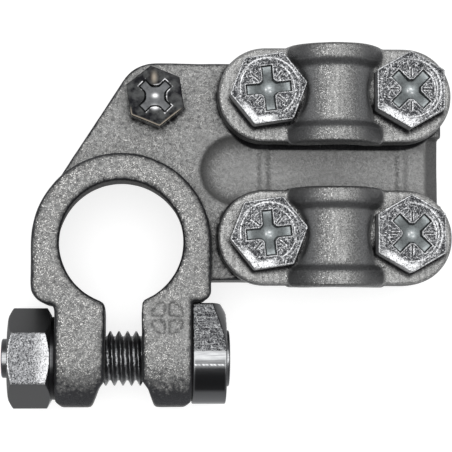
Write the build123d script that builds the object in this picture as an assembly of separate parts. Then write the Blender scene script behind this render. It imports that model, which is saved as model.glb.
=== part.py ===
"""Battery terminal clamp for a positive post, with two cable saddles and an accessory screw.

Millimetres, +Z up. The origin is on the axis of the post bore, in the plane of the underside.
The post goes in along Z, the pinch bolt lies along X, and the cable runs along Y.
"""

from build123d import *

import os
from math import acos, atan2, cos, hypot, radians, sin, tan

# ---- clamp body: ring, lugs and plate, one casting ----
body_height = 14.4
post_bore_diameter = 17.5  # at the top, the small end
ring_wall = 4.25  # at the top
post_taper = 1 / 9  # growth in diameter for each mm downwards
casting_edge_radius = 0.8
bore_rim_bevel = 0.4
ring_nut_side_corner = 3.0
ring_head_side_corner = 1.7

slit_centre_x = 0.35
slit_width = 5.2
slit_mouth_radius = 0.9
lug_thickness = 7.35
lug_tip_bevel_start = 4.0  # from the tip, along the gap face
lug_tip_bevel_knee = (0.9, 2.8)  # from the gap face, from the tip
lug_tip_bevel_end = 1.9  # from the gap face, at the tip
lug_tip_corner = 1.0
bolt_beyond_ring = 3.6  # from the ring's outer circle to the bolt axis
bolt_hole_clearance = 0.3

plate_thickness = 9.0
plate_end_draft = 0.6  # how far the end leans in over the plate's thickness
plate_corner_radius = 4.0
plate_edge_radius = 0.6

channel_shift_y = -0.725  # of the pocket's middle from the middle between the two screw rows
channel_end_beyond_ring = 3.6  # from the ring's outer circle to the centre of the half-round end
channel_width = 9.9
channel_depth = 2.8
channel_floor_radius = 2.5
channel_mouth_bevel_across = 2.6
channel_mouth_bevel_down = 3.2
rib_width = 1.4
rib_height = 0.45
groove_half_width = 5.5
groove_depth = 2.6

mark_centre_x = 6.6
mark_centre_y = -10.85
mark_diameter = 4.8
mark_bar_width = 0.6
mark_depth = 0.3

# ---- cable saddles ----
saddle_end_reach = 6.9  # from a screw's place to the saddle's rounded end
saddle_width = 13.95
saddle_thickness = 3.5
saddle_edge_radius = 0.7
saddle_ring_gap = 0.8  # between the ring and the saddles
saddle_end_overhang = 0.4  # over the plate's end
saddle_front_overhang = 0.825  # of the front saddle over the plate's front
saddle_shift_x = -0.3  # the saddles lie this far off their screws, inside the clearance of the holes
saddle_shift_y = -0.4
hump_half_width = 5.5
hump_rise = 3.3
bead_half_width = 6.9
bead_rise = 4.3
bead_length = 2.9
bead_overhang = 0.3
bead_edge_radius = 0.8
arch_radius = 6.3
arch_rise = 3.3

# ---- saddle screws, M6 hexagon heads with a cross recess ----
saddle_screw_diameter = 6.0
saddle_screw_end_gap = 0.5  # between the screw's end and the plate's underside
saddle_screw_across_flats = 9.8
saddle_screw_head_height = 4.0
saddle_screw_spacing_x = 20.5
saddle_row_spacing_y = 20.75
saddle_front_row_y = 1.25
saddle_hole_clearance = 0.75
saddle_screw_recess_span = 6.4
saddle_screw_recess_arm = 1.5
saddle_screw_recess_core = 2.85  # diameter of the round middle of the cross
saddle_screw_recess_depth = 2.4
saddle_screw_turn = {"left": (9.0, 6.0), "right": (30.0, 45.0)}  # hexagon corner, recess arm, degrees
head_spin_gap = 0.25

# ---- accessory screw, M5 hexagon head with a cross recess ----
accessory_screw_x = 4.8
accessory_screw_beyond_ring = 8.3  # along Y from the ring's outer circle
accessory_screw_diameter = 5.0
accessory_screw_end_gap = 1.0
accessory_screw_across_flats = 7.8
accessory_screw_head_height = 3.5
accessory_screw_recess_span = 5.5
accessory_screw_recess_arm = 1.3
accessory_screw_recess_core = 2.5
accessory_screw_recess_depth = 1.9
accessory_screw_turn = (38.5, 45.0)
accessory_boss_radius = 5.5  # the plate's rounded corner around this screw

# ---- pinch bolt and nut, M8 ----
pinch_thread_diameter = 8.0
pinch_bolt_stand_out = 1.05  # of the bolt's end beyond the nut
pinch_bolt_pilot_diameter = 5.7
pinch_bolt_pilot_length = 1.1
pinch_head_radius = 6.65
pinch_head_nose = 7.95  # from the bolt axis to the flat end of the nose
pinch_head_thickness = 4.9
pinch_head_disc_diameter = 8.2
pinch_head_disc_height = 0.55
pinch_nut_across_flats = 12.75
pinch_nut_thickness = 6.65
pinch_nut_sink = 0.5  # bevel at the mouths of the thread

# ---- fits and gaps ----
thread_fit = 0.05  # radial gap of a screw in its thread
nose_gap = 0.12
nut_corner_gap = 0.25
head_chamfer_angle = 30.0
head_face_inset = 0.15  # the round face of a hexagon ends this far inside its flats
thread_end_chamfer = 0.8
cut_margin = 1.0  # cutting tools run past the faces that they cut

# ---- places worked out from the sizes above ----
ring_outer_radius = post_bore_diameter / 2 + ring_wall
bolt_axis_y = -(ring_outer_radius + bolt_beyond_ring)
bolt_axis_z = body_height / 2
lug_end_radius = body_height / 2
gap_left_x = slit_centre_x - slit_width / 2
gap_right_x = slit_centre_x + slit_width / 2
lug_left_x = gap_left_x - lug_thickness
lug_right_x = gap_right_x + lug_thickness
nut_corner_radius = pinch_nut_across_flats / 2 / cos(radians(30))
shoulder_left_y = bolt_axis_y + nut_corner_radius + nut_corner_gap
shoulder_right_y = bolt_axis_y + pinch_head_nose + nose_gap
accessory_screw_y = ring_outer_radius + accessory_screw_beyond_ring
plate_rear_y = accessory_screw_y + accessory_boss_radius
saddle_length = saddle_screw_spacing_x + 2 * saddle_end_reach
saddle_centre_x = ring_outer_radius + saddle_ring_gap + saddle_length / 2
saddle_screw_left_x = saddle_centre_x - saddle_shift_x - saddle_screw_spacing_x / 2
saddle_screw_right_x = saddle_screw_left_x + saddle_screw_spacing_x
saddle_rear_row_y = saddle_front_row_y + saddle_row_spacing_y
plate_right_x = saddle_centre_x + saddle_length / 2 - saddle_end_overhang  # at the underside
plate_front_y = saddle_front_row_y + saddle_shift_y - saddle_width / 2 + saddle_front_overhang
channel_centre_y = (saddle_front_row_y + saddle_rear_row_y) / 2 + channel_shift_y
channel_end_x = ring_outer_radius + channel_end_beyond_ring
saddle_top_z = plate_thickness + saddle_thickness
saddle_screw_length = saddle_thickness + plate_thickness - saddle_screw_end_gap
accessory_screw_length = plate_thickness - accessory_screw_end_gap
pinch_bolt_length = slit_width + 2 * lug_thickness + pinch_nut_thickness + pinch_bolt_stand_out
screw_columns = {"left": saddle_screw_left_x, "right": saddle_screw_right_x}
saddle_rows = {"rear": saddle_rear_row_y, "front": saddle_front_row_y}


def arc_radius(half_width, rise):
    """Radius of the arc over a chord of this half width with this rise."""
    return (half_width**2 + rise**2) / (2 * rise)


def cone_frustum(radius_low, radius_high, height):
    """A frustum that stands on the XY plane."""
    return Cone(radius_low, radius_high, height, align=(Align.CENTER, Align.CENTER, Align.MIN))


def rod(radius, height):
    """A cylinder that stands on the XY plane."""
    return Cylinder(radius, height, align=(Align.CENTER, Align.CENTER, Align.MIN))


def lift(outline, height):
    """An outline on a level plane, extruded straight up."""
    return extrude(outline, height, dir=(0, 0, 1))


def along_x(x, y, z):
    """A plane whose normal points along +X, for shapes made about a line along X."""
    return Plane(origin=(x, y, z), x_dir=(0, 1, 0), z_dir=(1, 0, 0)).location


def along_y(x, y, z):
    """A plane whose normal points along +Y, for shapes made about a line along Y."""
    return Plane(origin=(x, y, z), x_dir=(-1, 0, 0), z_dir=(0, 1, 0)).location


def wedge_along_y(profile, y_from, y_to):
    """A profile drawn in X and Z, extruded along Y."""
    upright = Plane(origin=(0, y_to, 0), x_dir=(1, 0, 0), z_dir=(0, -1, 0))
    return extrude(upright.location * profile, y_to - y_from, dir=(0, -1, 0))


def block(x_range, y_range, z_range):
    """A box from its ranges along the three axes."""
    size = [high - low for low, high in (x_range, y_range, z_range)]
    corner = (x_range[0], y_range[0], z_range[0])
    return Pos(*corner) * Box(*size, align=(Align.MIN, Align.MIN, Align.MIN))


# ---- clamp body ----
def ring_outline():
    """The ring from above: a round back, straight sides and two shoulders over the lugs."""
    outline = Circle(ring_outer_radius)
    for side, lug_x, shoulder_y in (
        (-1, lug_left_x, shoulder_left_y),
        (1, lug_right_x, shoulder_right_y),
    ):
        wall = Rectangle(ring_outer_radius, -shoulder_y)
        beside_lug = Rectangle(ring_outer_radius, ring_outer_radius)
        outline += Pos(side * ring_outer_radius / 2, shoulder_y / 2) * wall
        outline -= Pos(lug_x + side * ring_outer_radius / 2, shoulder_y - ring_outer_radius / 2) * beside_lug
    for x, y, radius in (
        (-ring_outer_radius, shoulder_left_y, ring_nut_side_corner),
        (ring_outer_radius, shoulder_right_y, ring_head_side_corner),
    ):
        corner = outline.vertices().sort_by_distance((x, y, 0))[0]
        outline = fillet(corner, radius)
    return outline


def lug(x_from, x_to):
    """One lug: a bar along Y with a half-round end about the bolt axis."""
    bar = block((x_from, x_to), (bolt_axis_y, 0), (0, body_height))
    end = along_x(x_from, bolt_axis_y, bolt_axis_z) * rod(lug_end_radius, x_to - x_from)
    return bar + end


def lug_tip_cut(gap_x, outer_x):
    """What is cut off a lug's tip: a long bevel on the gap side and a small one outside."""
    inward = 1 if gap_x > outer_x else -1
    tip_y = bolt_axis_y - lug_end_radius
    beyond = cut_margin
    knee_across, knee_along = lug_tip_bevel_knee
    upper_slope = knee_across / (lug_tip_bevel_start - knee_along)
    lower_slope = (lug_tip_bevel_end - knee_across) / knee_along
    long_bevel = Polygon(
        (gap_x + inward * beyond, tip_y + lug_tip_bevel_start + beyond / upper_slope),
        (gap_x - inward * knee_across, tip_y + knee_along),
        (gap_x - inward * (lug_tip_bevel_end + beyond * lower_slope), tip_y - beyond),
        (gap_x + inward * beyond, tip_y - beyond),
        align=None,
    )
    small_bevel = Polygon(
        (outer_x - inward * beyond, tip_y + lug_tip_corner + beyond),
        (outer_x + inward * (lug_tip_corner + beyond), tip_y - beyond),
        (outer_x - inward * beyond, tip_y - beyond),
        align=None,
    )
    return Pos(0, 0, -beyond) * lift(long_bevel + small_bevel, body_height + 2 * beyond)


def ring_and_lugs():
    """The ring and its two lugs with their edges rounded, before the bore is cut."""
    ring = lift(ring_outline(), body_height)
    ring = fillet(ring.edges().group_by(Axis.Z)[-1] + ring.edges().group_by(Axis.Z)[0], casting_edge_radius)
    for gap_x, outer_x in ((gap_left_x, lug_left_x), (gap_right_x, lug_right_x)):
        bar = lug(min(gap_x, outer_x), max(gap_x, outer_x)) - lug_tip_cut(gap_x, outer_x)
        side_edges = bar.edges().filter_by(
            lambda edge: abs(edge.center().Y) > casting_edge_radius
            and abs(edge.tangent_at(0.5).X) < 0.99
        )
        ring += fillet(side_edges, casting_edge_radius)
    return ring


def plate_outline():
    """The plate from above: a slanted edge tangent to the ring and to the accessory screw's corner."""
    boss_distance = hypot(accessory_screw_x, accessory_screw_y)
    normal_angle = atan2(accessory_screw_y, accessory_screw_x) + acos(
        (ring_outer_radius - accessory_boss_radius) / boss_distance
    )
    normal = Vector(cos(normal_angle), sin(normal_angle))
    boss = Vector(accessory_screw_x, accessory_screw_y)
    on_ring = normal * ring_outer_radius
    on_boss = boss + normal * accessory_boss_radius
    top_of_boss = boss + Vector(0, accessory_boss_radius)
    bend_middle = boss + (normal + Vector(0, 1)).normalized() * accessory_boss_radius
    return make_face(
        [
            Line(on_ring, on_boss),
            ThreePointArc(on_boss, bend_middle, top_of_boss),
            Line(top_of_boss, (plate_right_x, plate_rear_y)),
            Line((plate_right_x, plate_rear_y), (plate_right_x, plate_front_y)),
            Line((plate_right_x, plate_front_y), (0, plate_front_y)),
            Line((0, plate_front_y), (0, 0)),
            Line((0, 0), on_ring),
        ]
    )


def channel_cut():
    """The pocket between the two saddle seats, half-round at its inner end."""
    floor_z = plate_thickness - channel_depth
    run_out = plate_right_x + cut_margin
    straight = block(
        (channel_end_x, run_out),
        (channel_centre_y - channel_width / 2, channel_centre_y + channel_width / 2),
        (floor_z, plate_thickness + cut_margin),
    )
    end = Pos(channel_end_x, channel_centre_y, floor_z) * rod(channel_width / 2, channel_depth + cut_margin)
    pocket = straight + end
    floor = pocket.faces().sort_by(Axis.Z)[0]
    rounded = [edge for edge in floor.edges() if edge.center().X < run_out - 0.01]
    return fillet(rounded, channel_floor_radius)


def channel_ribs():
    """Two low ribs across the channel floor, in line with the saddle screws."""
    floor_z = plate_thickness - channel_depth
    half_span = channel_width / 2 - channel_floor_radius / 2
    ribs = []
    for x in screw_columns.values():
        rib = block(
            (x - rib_width / 2, x + rib_width / 2),
            (channel_centre_y - half_span, channel_centre_y + half_span),
            (floor_z - rib_height, floor_z + rib_height),
        )
        top = rib.faces().sort_by(Axis.Z)[-1]
        ribs.append(fillet(top.edges().filter_by(Axis.Y), rib_height * 0.8))
    return ribs


def end_draft_cut():
    """The thin wedge that gives the plate's outer end its draft."""
    profile = Polygon(
        (plate_right_x, 0),
        (plate_right_x - plate_end_draft, plate_thickness),
        (plate_right_x + cut_margin, plate_thickness),
        (plate_right_x + cut_margin, 0),
        align=None,
    )
    return wedge_along_y(profile, plate_front_y - cut_margin, plate_rear_y + cut_margin)


def channel_mouth_cut():
    """The wedge that turns the channel floor down at the plate's outer end."""
    floor_z = plate_thickness - channel_depth
    low_z = floor_z - channel_mouth_bevel_down
    profile = Polygon(
        (plate_right_x, low_z),
        (plate_right_x - channel_mouth_bevel_across, floor_z),
        (plate_right_x - channel_mouth_bevel_across, plate_thickness + cut_margin),
        (plate_right_x + cut_margin, plate_thickness + cut_margin),
        (plate_right_x + cut_margin, low_z),
        align=None,
    )
    half = channel_width / 2
    return wedge_along_y(profile, channel_centre_y - half, channel_centre_y + half)


def plate():
    """The plate with its channel, ribs and cable grooves."""
    slab = lift(plate_outline(), plate_thickness) - end_draft_cut()
    upright = slab.edges().filter_by(lambda edge: abs(edge.tangent_at(0.5).Z) > 0.9)
    slab = fillet(upright.sort_by(Axis.X)[-2:], plate_corner_radius)
    rim = slab.edges().group_by(Axis.Z)[-1]
    outer_rim = rim.filter_by(lambda edge: hypot(edge.center().X, edge.center().Y) > ring_outer_radius)
    slab = fillet(outer_rim, plate_edge_radius)
    slab -= channel_cut()
    slab -= channel_mouth_cut()
    slab += channel_ribs()
    groove_radius = arc_radius(groove_half_width, groove_depth)
    groove_z = plate_thickness - groove_depth + groove_radius
    length = plate_rear_y - plate_front_y + 2 * cut_margin
    groove = along_y(saddle_centre_x, plate_front_y - cut_margin, groove_z) * rod(groove_radius, length)
    return slab - groove


def polarity_mark():
    """Four sunk quadrants that leave a raised plus on the right lug."""
    disc = Circle(mark_diameter / 2)
    plus = Rectangle(mark_diameter, mark_bar_width) + Rectangle(mark_bar_width, mark_diameter)
    place = Pos(mark_centre_x, mark_centre_y, body_height - mark_depth)
    return place * lift(disc - plus, mark_depth + cut_margin)


def post_bore():
    """The tapered bore for the battery post, wider at the underside, its two rims bevelled."""
    per_mm = post_taper / 2
    top_radius = post_bore_diameter / 2
    low_radius = top_radius + per_mm * body_height
    reach = bore_rim_bevel + cut_margin
    bore = Pos(0, 0, -cut_margin) * cone_frustum(
        low_radius + per_mm * cut_margin, top_radius - per_mm * cut_margin, body_height + 2 * cut_margin
    )
    bore += Pos(0, 0, -cut_margin) * cone_frustum(low_radius + reach, low_radius, reach)
    bore += Pos(0, 0, body_height - bore_rim_bevel) * cone_frustum(top_radius, top_radius + reach, reach)
    return bore


def is_slit_mouth_edge(edge):
    """Whether an edge is one of the two upright corners where the slit opens into the bore."""
    centre = edge.center()
    in_slit = gap_left_x - 0.1 < centre.X < gap_right_x + 0.1
    upright = abs(edge.tangent_at(0.5).Z) > 0.9
    return in_slit and upright and -ring_outer_radius < centre.Y < 0


def clamp_body():
    """The casting: ring, lugs and plate with every hole."""
    tip_y = bolt_axis_y - lug_end_radius
    body = ring_and_lugs() + plate() - post_bore()
    body -= block(
        (gap_left_x, gap_right_x), (tip_y - cut_margin, 0), (-cut_margin, body_height + cut_margin)
    )
    body = fillet(body.edges().filter_by(is_slit_mouth_edge), slit_mouth_radius)
    bolt_hole = along_x(lug_left_x - cut_margin, bolt_axis_y, bolt_axis_z) * rod(
        pinch_thread_diameter / 2 + bolt_hole_clearance, lug_right_x - lug_left_x + 2 * cut_margin
    )
    body -= bolt_hole
    for x in screw_columns.values():
        for y in saddle_rows.values():
            body -= Pos(x, y, -cut_margin) * rod(
                saddle_screw_diameter / 2 + thread_fit, plate_thickness + 2 * cut_margin
            )
    body -= Pos(accessory_screw_x, accessory_screw_y, -cut_margin) * rod(
        accessory_screw_diameter / 2 + thread_fit, plate_thickness + 2 * cut_margin
    )
    body -= polarity_mark()
    return body


# ---- cable saddles ----
def arch_bar(half_width, rise, length):
    """A bar along Y whose top is an arc that rises this far above the saddle's flats."""
    radius = arc_radius(half_width, rise)
    centre_z = saddle_thickness + rise - radius
    bar = along_y(0, -length / 2, centre_z) * rod(radius, length)
    return bar & block((-radius, radius), (-length, length), (saddle_thickness / 2, centre_z + 2 * radius))


def saddle():
    """One saddle about its own centre, its underside at Z = 0."""
    flat = lift(SlotOverall(saddle_length, saddle_width), saddle_thickness)
    flat = fillet(flat.edges().group_by(Axis.Z)[-1], saddle_edge_radius)
    hump = arch_bar(hump_half_width, hump_rise, saddle_width - bead_length)
    solid = flat + hump
    for side in (-1, 1):
        bead = arch_bar(bead_half_width, bead_rise, bead_length)
        arcs = bead.edges().filter_by(GeomType.CIRCLE)
        bead = fillet(arcs, bead_edge_radius)
        solid += Pos(0, side * (saddle_width / 2 + bead_overhang - bead_length / 2), 0) * bead
    head_radius = saddle_screw_across_flats / 2 / cos(radians(30)) + head_spin_gap
    for x in screw_columns.values():
        place = Pos(x - saddle_centre_x, -saddle_shift_y, 0)
        solid -= place * rod(saddle_screw_diameter / 2 + saddle_hole_clearance, saddle_thickness)
        solid -= place * Pos(0, 0, saddle_thickness) * rod(head_radius, hump_rise + bead_rise)
    arch = along_y(0, -saddle_width, arch_rise - arch_radius) * rod(arch_radius, 2 * saddle_width)
    return solid - arch


# ---- screws ----
def hex_head(across_flats, height, corner_angle, chamfer_both=False):
    """A hexagon on the XY plane whose top corners, and bottom ones if asked, are turned off by a cone."""
    corner_radius = across_flats / 2 / cos(radians(30))
    hexagon = Rot(0, 0, corner_angle) * lift(RegularPolygon(corner_radius, 6), height)
    drop = tan(radians(head_chamfer_angle))
    face_radius = across_flats / 2 - head_face_inset
    skirt = (corner_radius - face_radius) * drop
    outside = rod(corner_radius + cut_margin, height + cut_margin)
    top_keep = rod(corner_radius + cut_margin, height - skirt)
    top_keep += Pos(0, 0, height - skirt) * cone_frustum(corner_radius, face_radius, skirt)
    hexagon -= outside - top_keep
    if chamfer_both:
        bottom_keep = cone_frustum(face_radius, corner_radius, skirt)
        bottom_keep += Pos(0, 0, skirt) * rod(corner_radius + cut_margin, height)
        hexagon -= outside - bottom_keep
    return hexagon


def cross_recess(span, arm, core, depth, angle):
    """A cross-shaped pocket below the XY plane with a round middle."""
    cross = Rectangle(span, arm) + Rectangle(arm, span)
    pocket = Pos(0, 0, -depth) * lift(cross, depth + cut_margin)
    middle = Pos(0, 0, -depth) * rod(core / 2, depth + cut_margin)
    return Rot(0, 0, angle) * (pocket + middle)


def threaded_rod(diameter, length):
    """A screw's shank below the XY plane, its end chamfered; the thread's turns are left out."""
    straight = Pos(0, 0, -length + thread_end_chamfer) * rod(diameter / 2, length - thread_end_chamfer)
    tip = cone_frustum(diameter / 2 - thread_end_chamfer, diameter / 2, thread_end_chamfer)
    return straight + Pos(0, 0, -length) * tip


def recessed_screw(diameter, length, across_flats, head_height, recess, corner_angle):
    """A hexagon screw with a cross recess, its head standing on the XY plane."""
    head = hex_head(across_flats, head_height, corner_angle)
    head -= Pos(0, 0, head_height) * recess
    return head + threaded_rod(diameter, length)


def saddle_screw(column):
    """The M6 screw of one column, turned as it was left after tightening."""
    corner_angle, arm_angle = saddle_screw_turn[column]
    recess = cross_recess(
        saddle_screw_recess_span,
        saddle_screw_recess_arm,
        saddle_screw_recess_core,
        saddle_screw_recess_depth,
        arm_angle,
    )
    return recessed_screw(
        saddle_screw_diameter,
        saddle_screw_length,
        saddle_screw_across_flats,
        saddle_screw_head_height,
        recess,
        corner_angle,
    )


def accessory_screw():
    """The M5 screw that holds the lead of a small accessory to the plate."""
    corner_angle, arm_angle = accessory_screw_turn
    recess = cross_recess(
        accessory_screw_recess_span,
        accessory_screw_recess_arm,
        accessory_screw_recess_core,
        accessory_screw_recess_depth,
        arm_angle,
    )
    return recessed_screw(
        accessory_screw_diameter,
        accessory_screw_length,
        accessory_screw_across_flats,
        accessory_screw_head_height,
        recess,
        corner_angle,
    )


def pinch_bolt():
    """The bolt along X: a U-shaped head whose nose lies under the ring, so that it can't turn."""
    radius = pinch_head_radius
    profile = Circle(radius) + Pos(pinch_head_nose / 2, 0) * Rectangle(pinch_head_nose, 2 * radius)
    head = lift(profile, pinch_head_thickness)
    far = hypot(pinch_head_nose, radius)
    drop = tan(radians(head_chamfer_angle))
    skirt = (far - radius) * drop
    keep = rod(far + cut_margin, pinch_head_thickness - skirt)
    keep += Pos(0, 0, pinch_head_thickness - skirt) * cone_frustum(far, radius, skirt)
    head &= keep
    disc = Pos(0, 0, pinch_head_thickness) * rod(pinch_head_disc_diameter / 2, pinch_head_disc_height)
    shoulder = (pinch_thread_diameter - pinch_bolt_pilot_diameter) / 2
    pilot_z = pinch_bolt_pilot_length - pinch_bolt_length
    pilot = Pos(0, 0, -pinch_bolt_length) * rod(pinch_bolt_pilot_diameter / 2, pinch_bolt_pilot_length)
    taper = Pos(0, 0, pilot_z) * cone_frustum(
        pinch_bolt_pilot_diameter / 2, pinch_thread_diameter / 2, shoulder
    )
    shank = Pos(0, 0, pilot_z + shoulder) * rod(pinch_thread_diameter / 2, -pilot_z - shoulder)
    bolt = head + disc + shank + taper + pilot
    return along_x(lug_right_x, bolt_axis_y, bolt_axis_z) * bolt


def pinch_nut():
    """The hexagon nut against the left lug, one flat upwards."""
    body = hex_head(pinch_nut_across_flats, pinch_nut_thickness, 0, chamfer_both=True)
    bore_radius = pinch_thread_diameter / 2 + thread_fit
    mouth_radius = bore_radius + pinch_nut_sink
    body -= rod(bore_radius, pinch_nut_thickness)
    body -= cone_frustum(mouth_radius, bore_radius, pinch_nut_sink)
    far_mouth = Pos(0, 0, pinch_nut_thickness - pinch_nut_sink)
    body -= far_mouth * cone_frustum(bore_radius, mouth_radius, pinch_nut_sink)
    return along_x(lug_left_x - pinch_nut_thickness, bolt_axis_y, bolt_axis_z) * body


def all_nodes():
    """Every separate piece under its node name."""
    nodes = {
        "clamp_body": clamp_body(),
        "pinch_bolt": pinch_bolt(),
        "pinch_nut": pinch_nut(),
        "accessory_screw": Pos(accessory_screw_x, accessory_screw_y, plate_thickness) * accessory_screw(),
    }
    for row, y in saddle_rows.items():
        nodes[f"cable_saddle_{row}"] = (
            Pos(saddle_centre_x, y + saddle_shift_y, plate_thickness) * saddle()
        )
        for column, x in screw_columns.items():
            nodes[f"saddle_screw_{row}_{column}"] = Pos(x, y, saddle_top_z) * saddle_screw(column)
    return nodes


os.makedirs("parts", exist_ok=True)
for name, shape in all_nodes().items():
    export_step(shape, f"parts/{name}.step")
    print(name, len(shape.solids()), "solid", round(shape.volume, 1), "mm3")
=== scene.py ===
"""The finished looks of a battery terminal clamp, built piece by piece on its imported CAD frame.

Lengths are millimetres in the mesh code and become metres where a mesh is handed to Blender.
+Z is up along the post bore, +X along the pinch bolt from nut to head, +Y along the cable.
"""

import logging
import math
from collections.abc import Callable
from dataclasses import dataclass, field
from enum import Enum

import bmesh
import bpy
import numpy as np
from mathutils import Matrix, Vector, noise


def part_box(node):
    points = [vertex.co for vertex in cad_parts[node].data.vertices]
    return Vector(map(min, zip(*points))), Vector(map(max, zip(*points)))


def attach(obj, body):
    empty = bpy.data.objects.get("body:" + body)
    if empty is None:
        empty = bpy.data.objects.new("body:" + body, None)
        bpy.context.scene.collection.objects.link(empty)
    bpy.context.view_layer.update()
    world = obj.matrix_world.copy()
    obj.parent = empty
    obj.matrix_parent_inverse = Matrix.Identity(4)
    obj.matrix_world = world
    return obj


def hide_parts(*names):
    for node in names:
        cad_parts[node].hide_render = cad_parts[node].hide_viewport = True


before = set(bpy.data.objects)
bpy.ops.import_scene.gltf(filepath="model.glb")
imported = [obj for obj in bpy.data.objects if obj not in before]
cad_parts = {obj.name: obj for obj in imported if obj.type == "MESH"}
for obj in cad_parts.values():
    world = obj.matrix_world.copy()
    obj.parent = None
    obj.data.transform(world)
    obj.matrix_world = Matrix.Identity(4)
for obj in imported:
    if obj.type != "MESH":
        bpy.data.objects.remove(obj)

log = logging.getLogger("terminal_clamp")

MM = 0.001
Array = np.ndarray
Colour = tuple[float, float, float]
Piece = bpy.types.Object
Material = bpy.types.Material
Socket = bpy.types.NodeSocket
Sockets = dict[str, Socket]
ON_AXIS = 1e-4
HEAD_CORNER_POWER = 70.0


# ---------------------------------------------------------------------------------------------
# Named choices
# ---------------------------------------------------------------------------------------------
class Slot(Enum):
    """The record's material slots."""

    CASTING = "casting"
    ZINC = "zinc_steel"
    CHROME = "dark_chrome"


class Lie(Enum):
    """The way a turned piece lies: the direction of its own axis."""

    UPRIGHT = "z"
    ALONG_X = "x"


class Mask(Enum):
    """Vertex attributes that tell a finish where it changes."""

    RECESS = "recess_floor"
    # painted highlights on screw heads, recess lips, the bolt and the nut
    BRIGHT = "painted_highlight_mask"
    # the zinc's etch crystals; on the dark chrome screw, a painted brown reflection and a painted
    # highlight along its lower edges
    ETCHED = "etched"
    # on the body, hollows and the mark painted lighter as a painted lift of light; on a saddle, its hump
    SHELTERED = "sheltered"
    # painted shade and painted shadow in corners, under saddles, on walls and at screw feet
    GRIME = "grime"
    # painted highlights: glint spots, arcs and lines on screw heads
    POLISHED = "polished_spot"


Skin = tuple[Array, list[tuple[int, ...]], dict[Mask, Array]]


# ---------------------------------------------------------------------------------------------
# Turned skins
# ---------------------------------------------------------------------------------------------
@dataclass
class TurnedSkin:
    """Rings of points about an axis, joined ring to ring into one closed skin.

    Attributes:
        angles: the angle of each point in a ring, in radians.
        rings: radius, height and masks of each ring, one value a point.
    """

    angles: Array
    rings: list[tuple[Array, Array, dict[Mask, Array]]] = field(default_factory=list)

    def ring(self, radius: float | Array, height: float | Array, **masks: float | Array) -> None:
        """Adds one ring.

        Args:
            radius: distance from the axis, one value or one a point.
            height: place along the axis, one value or one a point.
            masks: values of the vertex masks, by the lower-case name of the mask.
        """
        wide = np.ones_like(self.angles)
        kept = {Mask[name.upper()]: value * wide for name, value in masks.items()}
        self.rings.append((radius * wide, height * wide, kept))

    def cap(self, height: float) -> None:
        """Adds a ring drawn in to a point on the axis, which closes an end."""
        self.ring(ON_AXIS, height)

    def mesh_data(self, loop: bool = False) -> Skin:
        """Points in the skin's own frame, faces and masks.

        Args:
            loop: whether the last ring joins the first, as on a nut.

        Returns:
            The points, the faces as index tuples, and one value a point for each mask.
        """
        count = len(self.angles)
        radius = np.array([ring[0] for ring in self.rings])
        height = np.array([ring[1] for ring in self.rings])
        points = np.stack([radius * np.cos(self.angles), radius * np.sin(self.angles), height], axis=-1)
        rows = len(self.rings)
        faces = []
        for row in range(rows if loop else rows - 1):
            low, high = row * count, ((row + 1) % rows) * count
            for here in range(count):
                after = (here + 1) % count
                faces.append((low + here, low + after, high + after, high + here))
        if not loop:
            faces.append(tuple(range(count - 1, -1, -1)))
            faces.append(tuple(range((rows - 1) * count, rows * count)))
        zero = np.zeros(count)
        masks = {
            mask: np.concatenate([ring[2].get(mask, zero) for ring in self.rings]) for mask in Mask
        }
        return points.reshape(-1, 3), faces, masks


@dataclass(frozen=True)
class Place:
    """Where a turned piece stands: a point on its axis in millimetres, and how it lies."""

    centre: tuple[float, float, float]
    lie: Lie = Lie.UPRIGHT

    def move(self, points: Array) -> Array:
        """Points of the piece's own frame in the frame of the whole object."""
        if self.lie is Lie.ALONG_X:
            points = points[:, [2, 0, 1]]
        return points + np.array(self.centre)


def evenly(count: int) -> Array:
    """Angles of evenly spread points round a ring."""
    return np.arange(count) * (2 * math.pi / count)


def smooth_step(low: float, high: float, value: Array) -> Array:
    """A soft step from 0 at low to 1 at high."""
    t = np.clip((value - low) / (high - low), 0.0, 1.0)
    return t * t * (3 - 2 * t)


def soft_min(a: Array, b: Array, reach: float) -> Array:
    """The smaller of two distances, with the corner between them rounded over reach."""
    mix = np.clip(0.5 + 0.5 * (b - a) / reach, 0.0, 1.0)
    return b * (1 - mix) + a * mix - reach * mix * (1 - mix)


def hexagon(angles: Array, across_flats: float, corner_deg: float, power: float) -> Array:
    """A hexagon's radius at each angle.

    Args:
        angles: in radians.
        across_flats: its size.
        corner_deg: the angle of one corner.
        power: the higher, the sharper its corners.

    Returns:
        The radius at each angle.
    """
    total = np.zeros_like(angles)
    for side in range(6):
        flat = math.radians(corner_deg + 30 + 60 * side)
        total += np.maximum(np.cos(angles - flat), 0.0) ** power
    return across_flats / 2 / total ** (1 / power)


def ridge(away: Array, width: float) -> Array:
    """A soft ridge, 1 where away is 0 and fading over width."""
    return np.exp(-((away / width) ** 2))


def degrees_from(angles: Array, middle: float) -> Array:
    """How many degrees each angle lies from the middle, either way round."""
    return np.abs((np.degrees(angles) - middle + 180) % 360 - 180)


def finish_piece(
    piece: Piece, material: Material, node: str, body: str
) -> Piece:
    """Gives a piece its material, hangs it on the body it rides on and hides the CAD node it replaces."""
    piece.data.materials.clear()
    piece.data.materials.append(material)
    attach(piece, body)
    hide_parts(node)
    return piece


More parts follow.
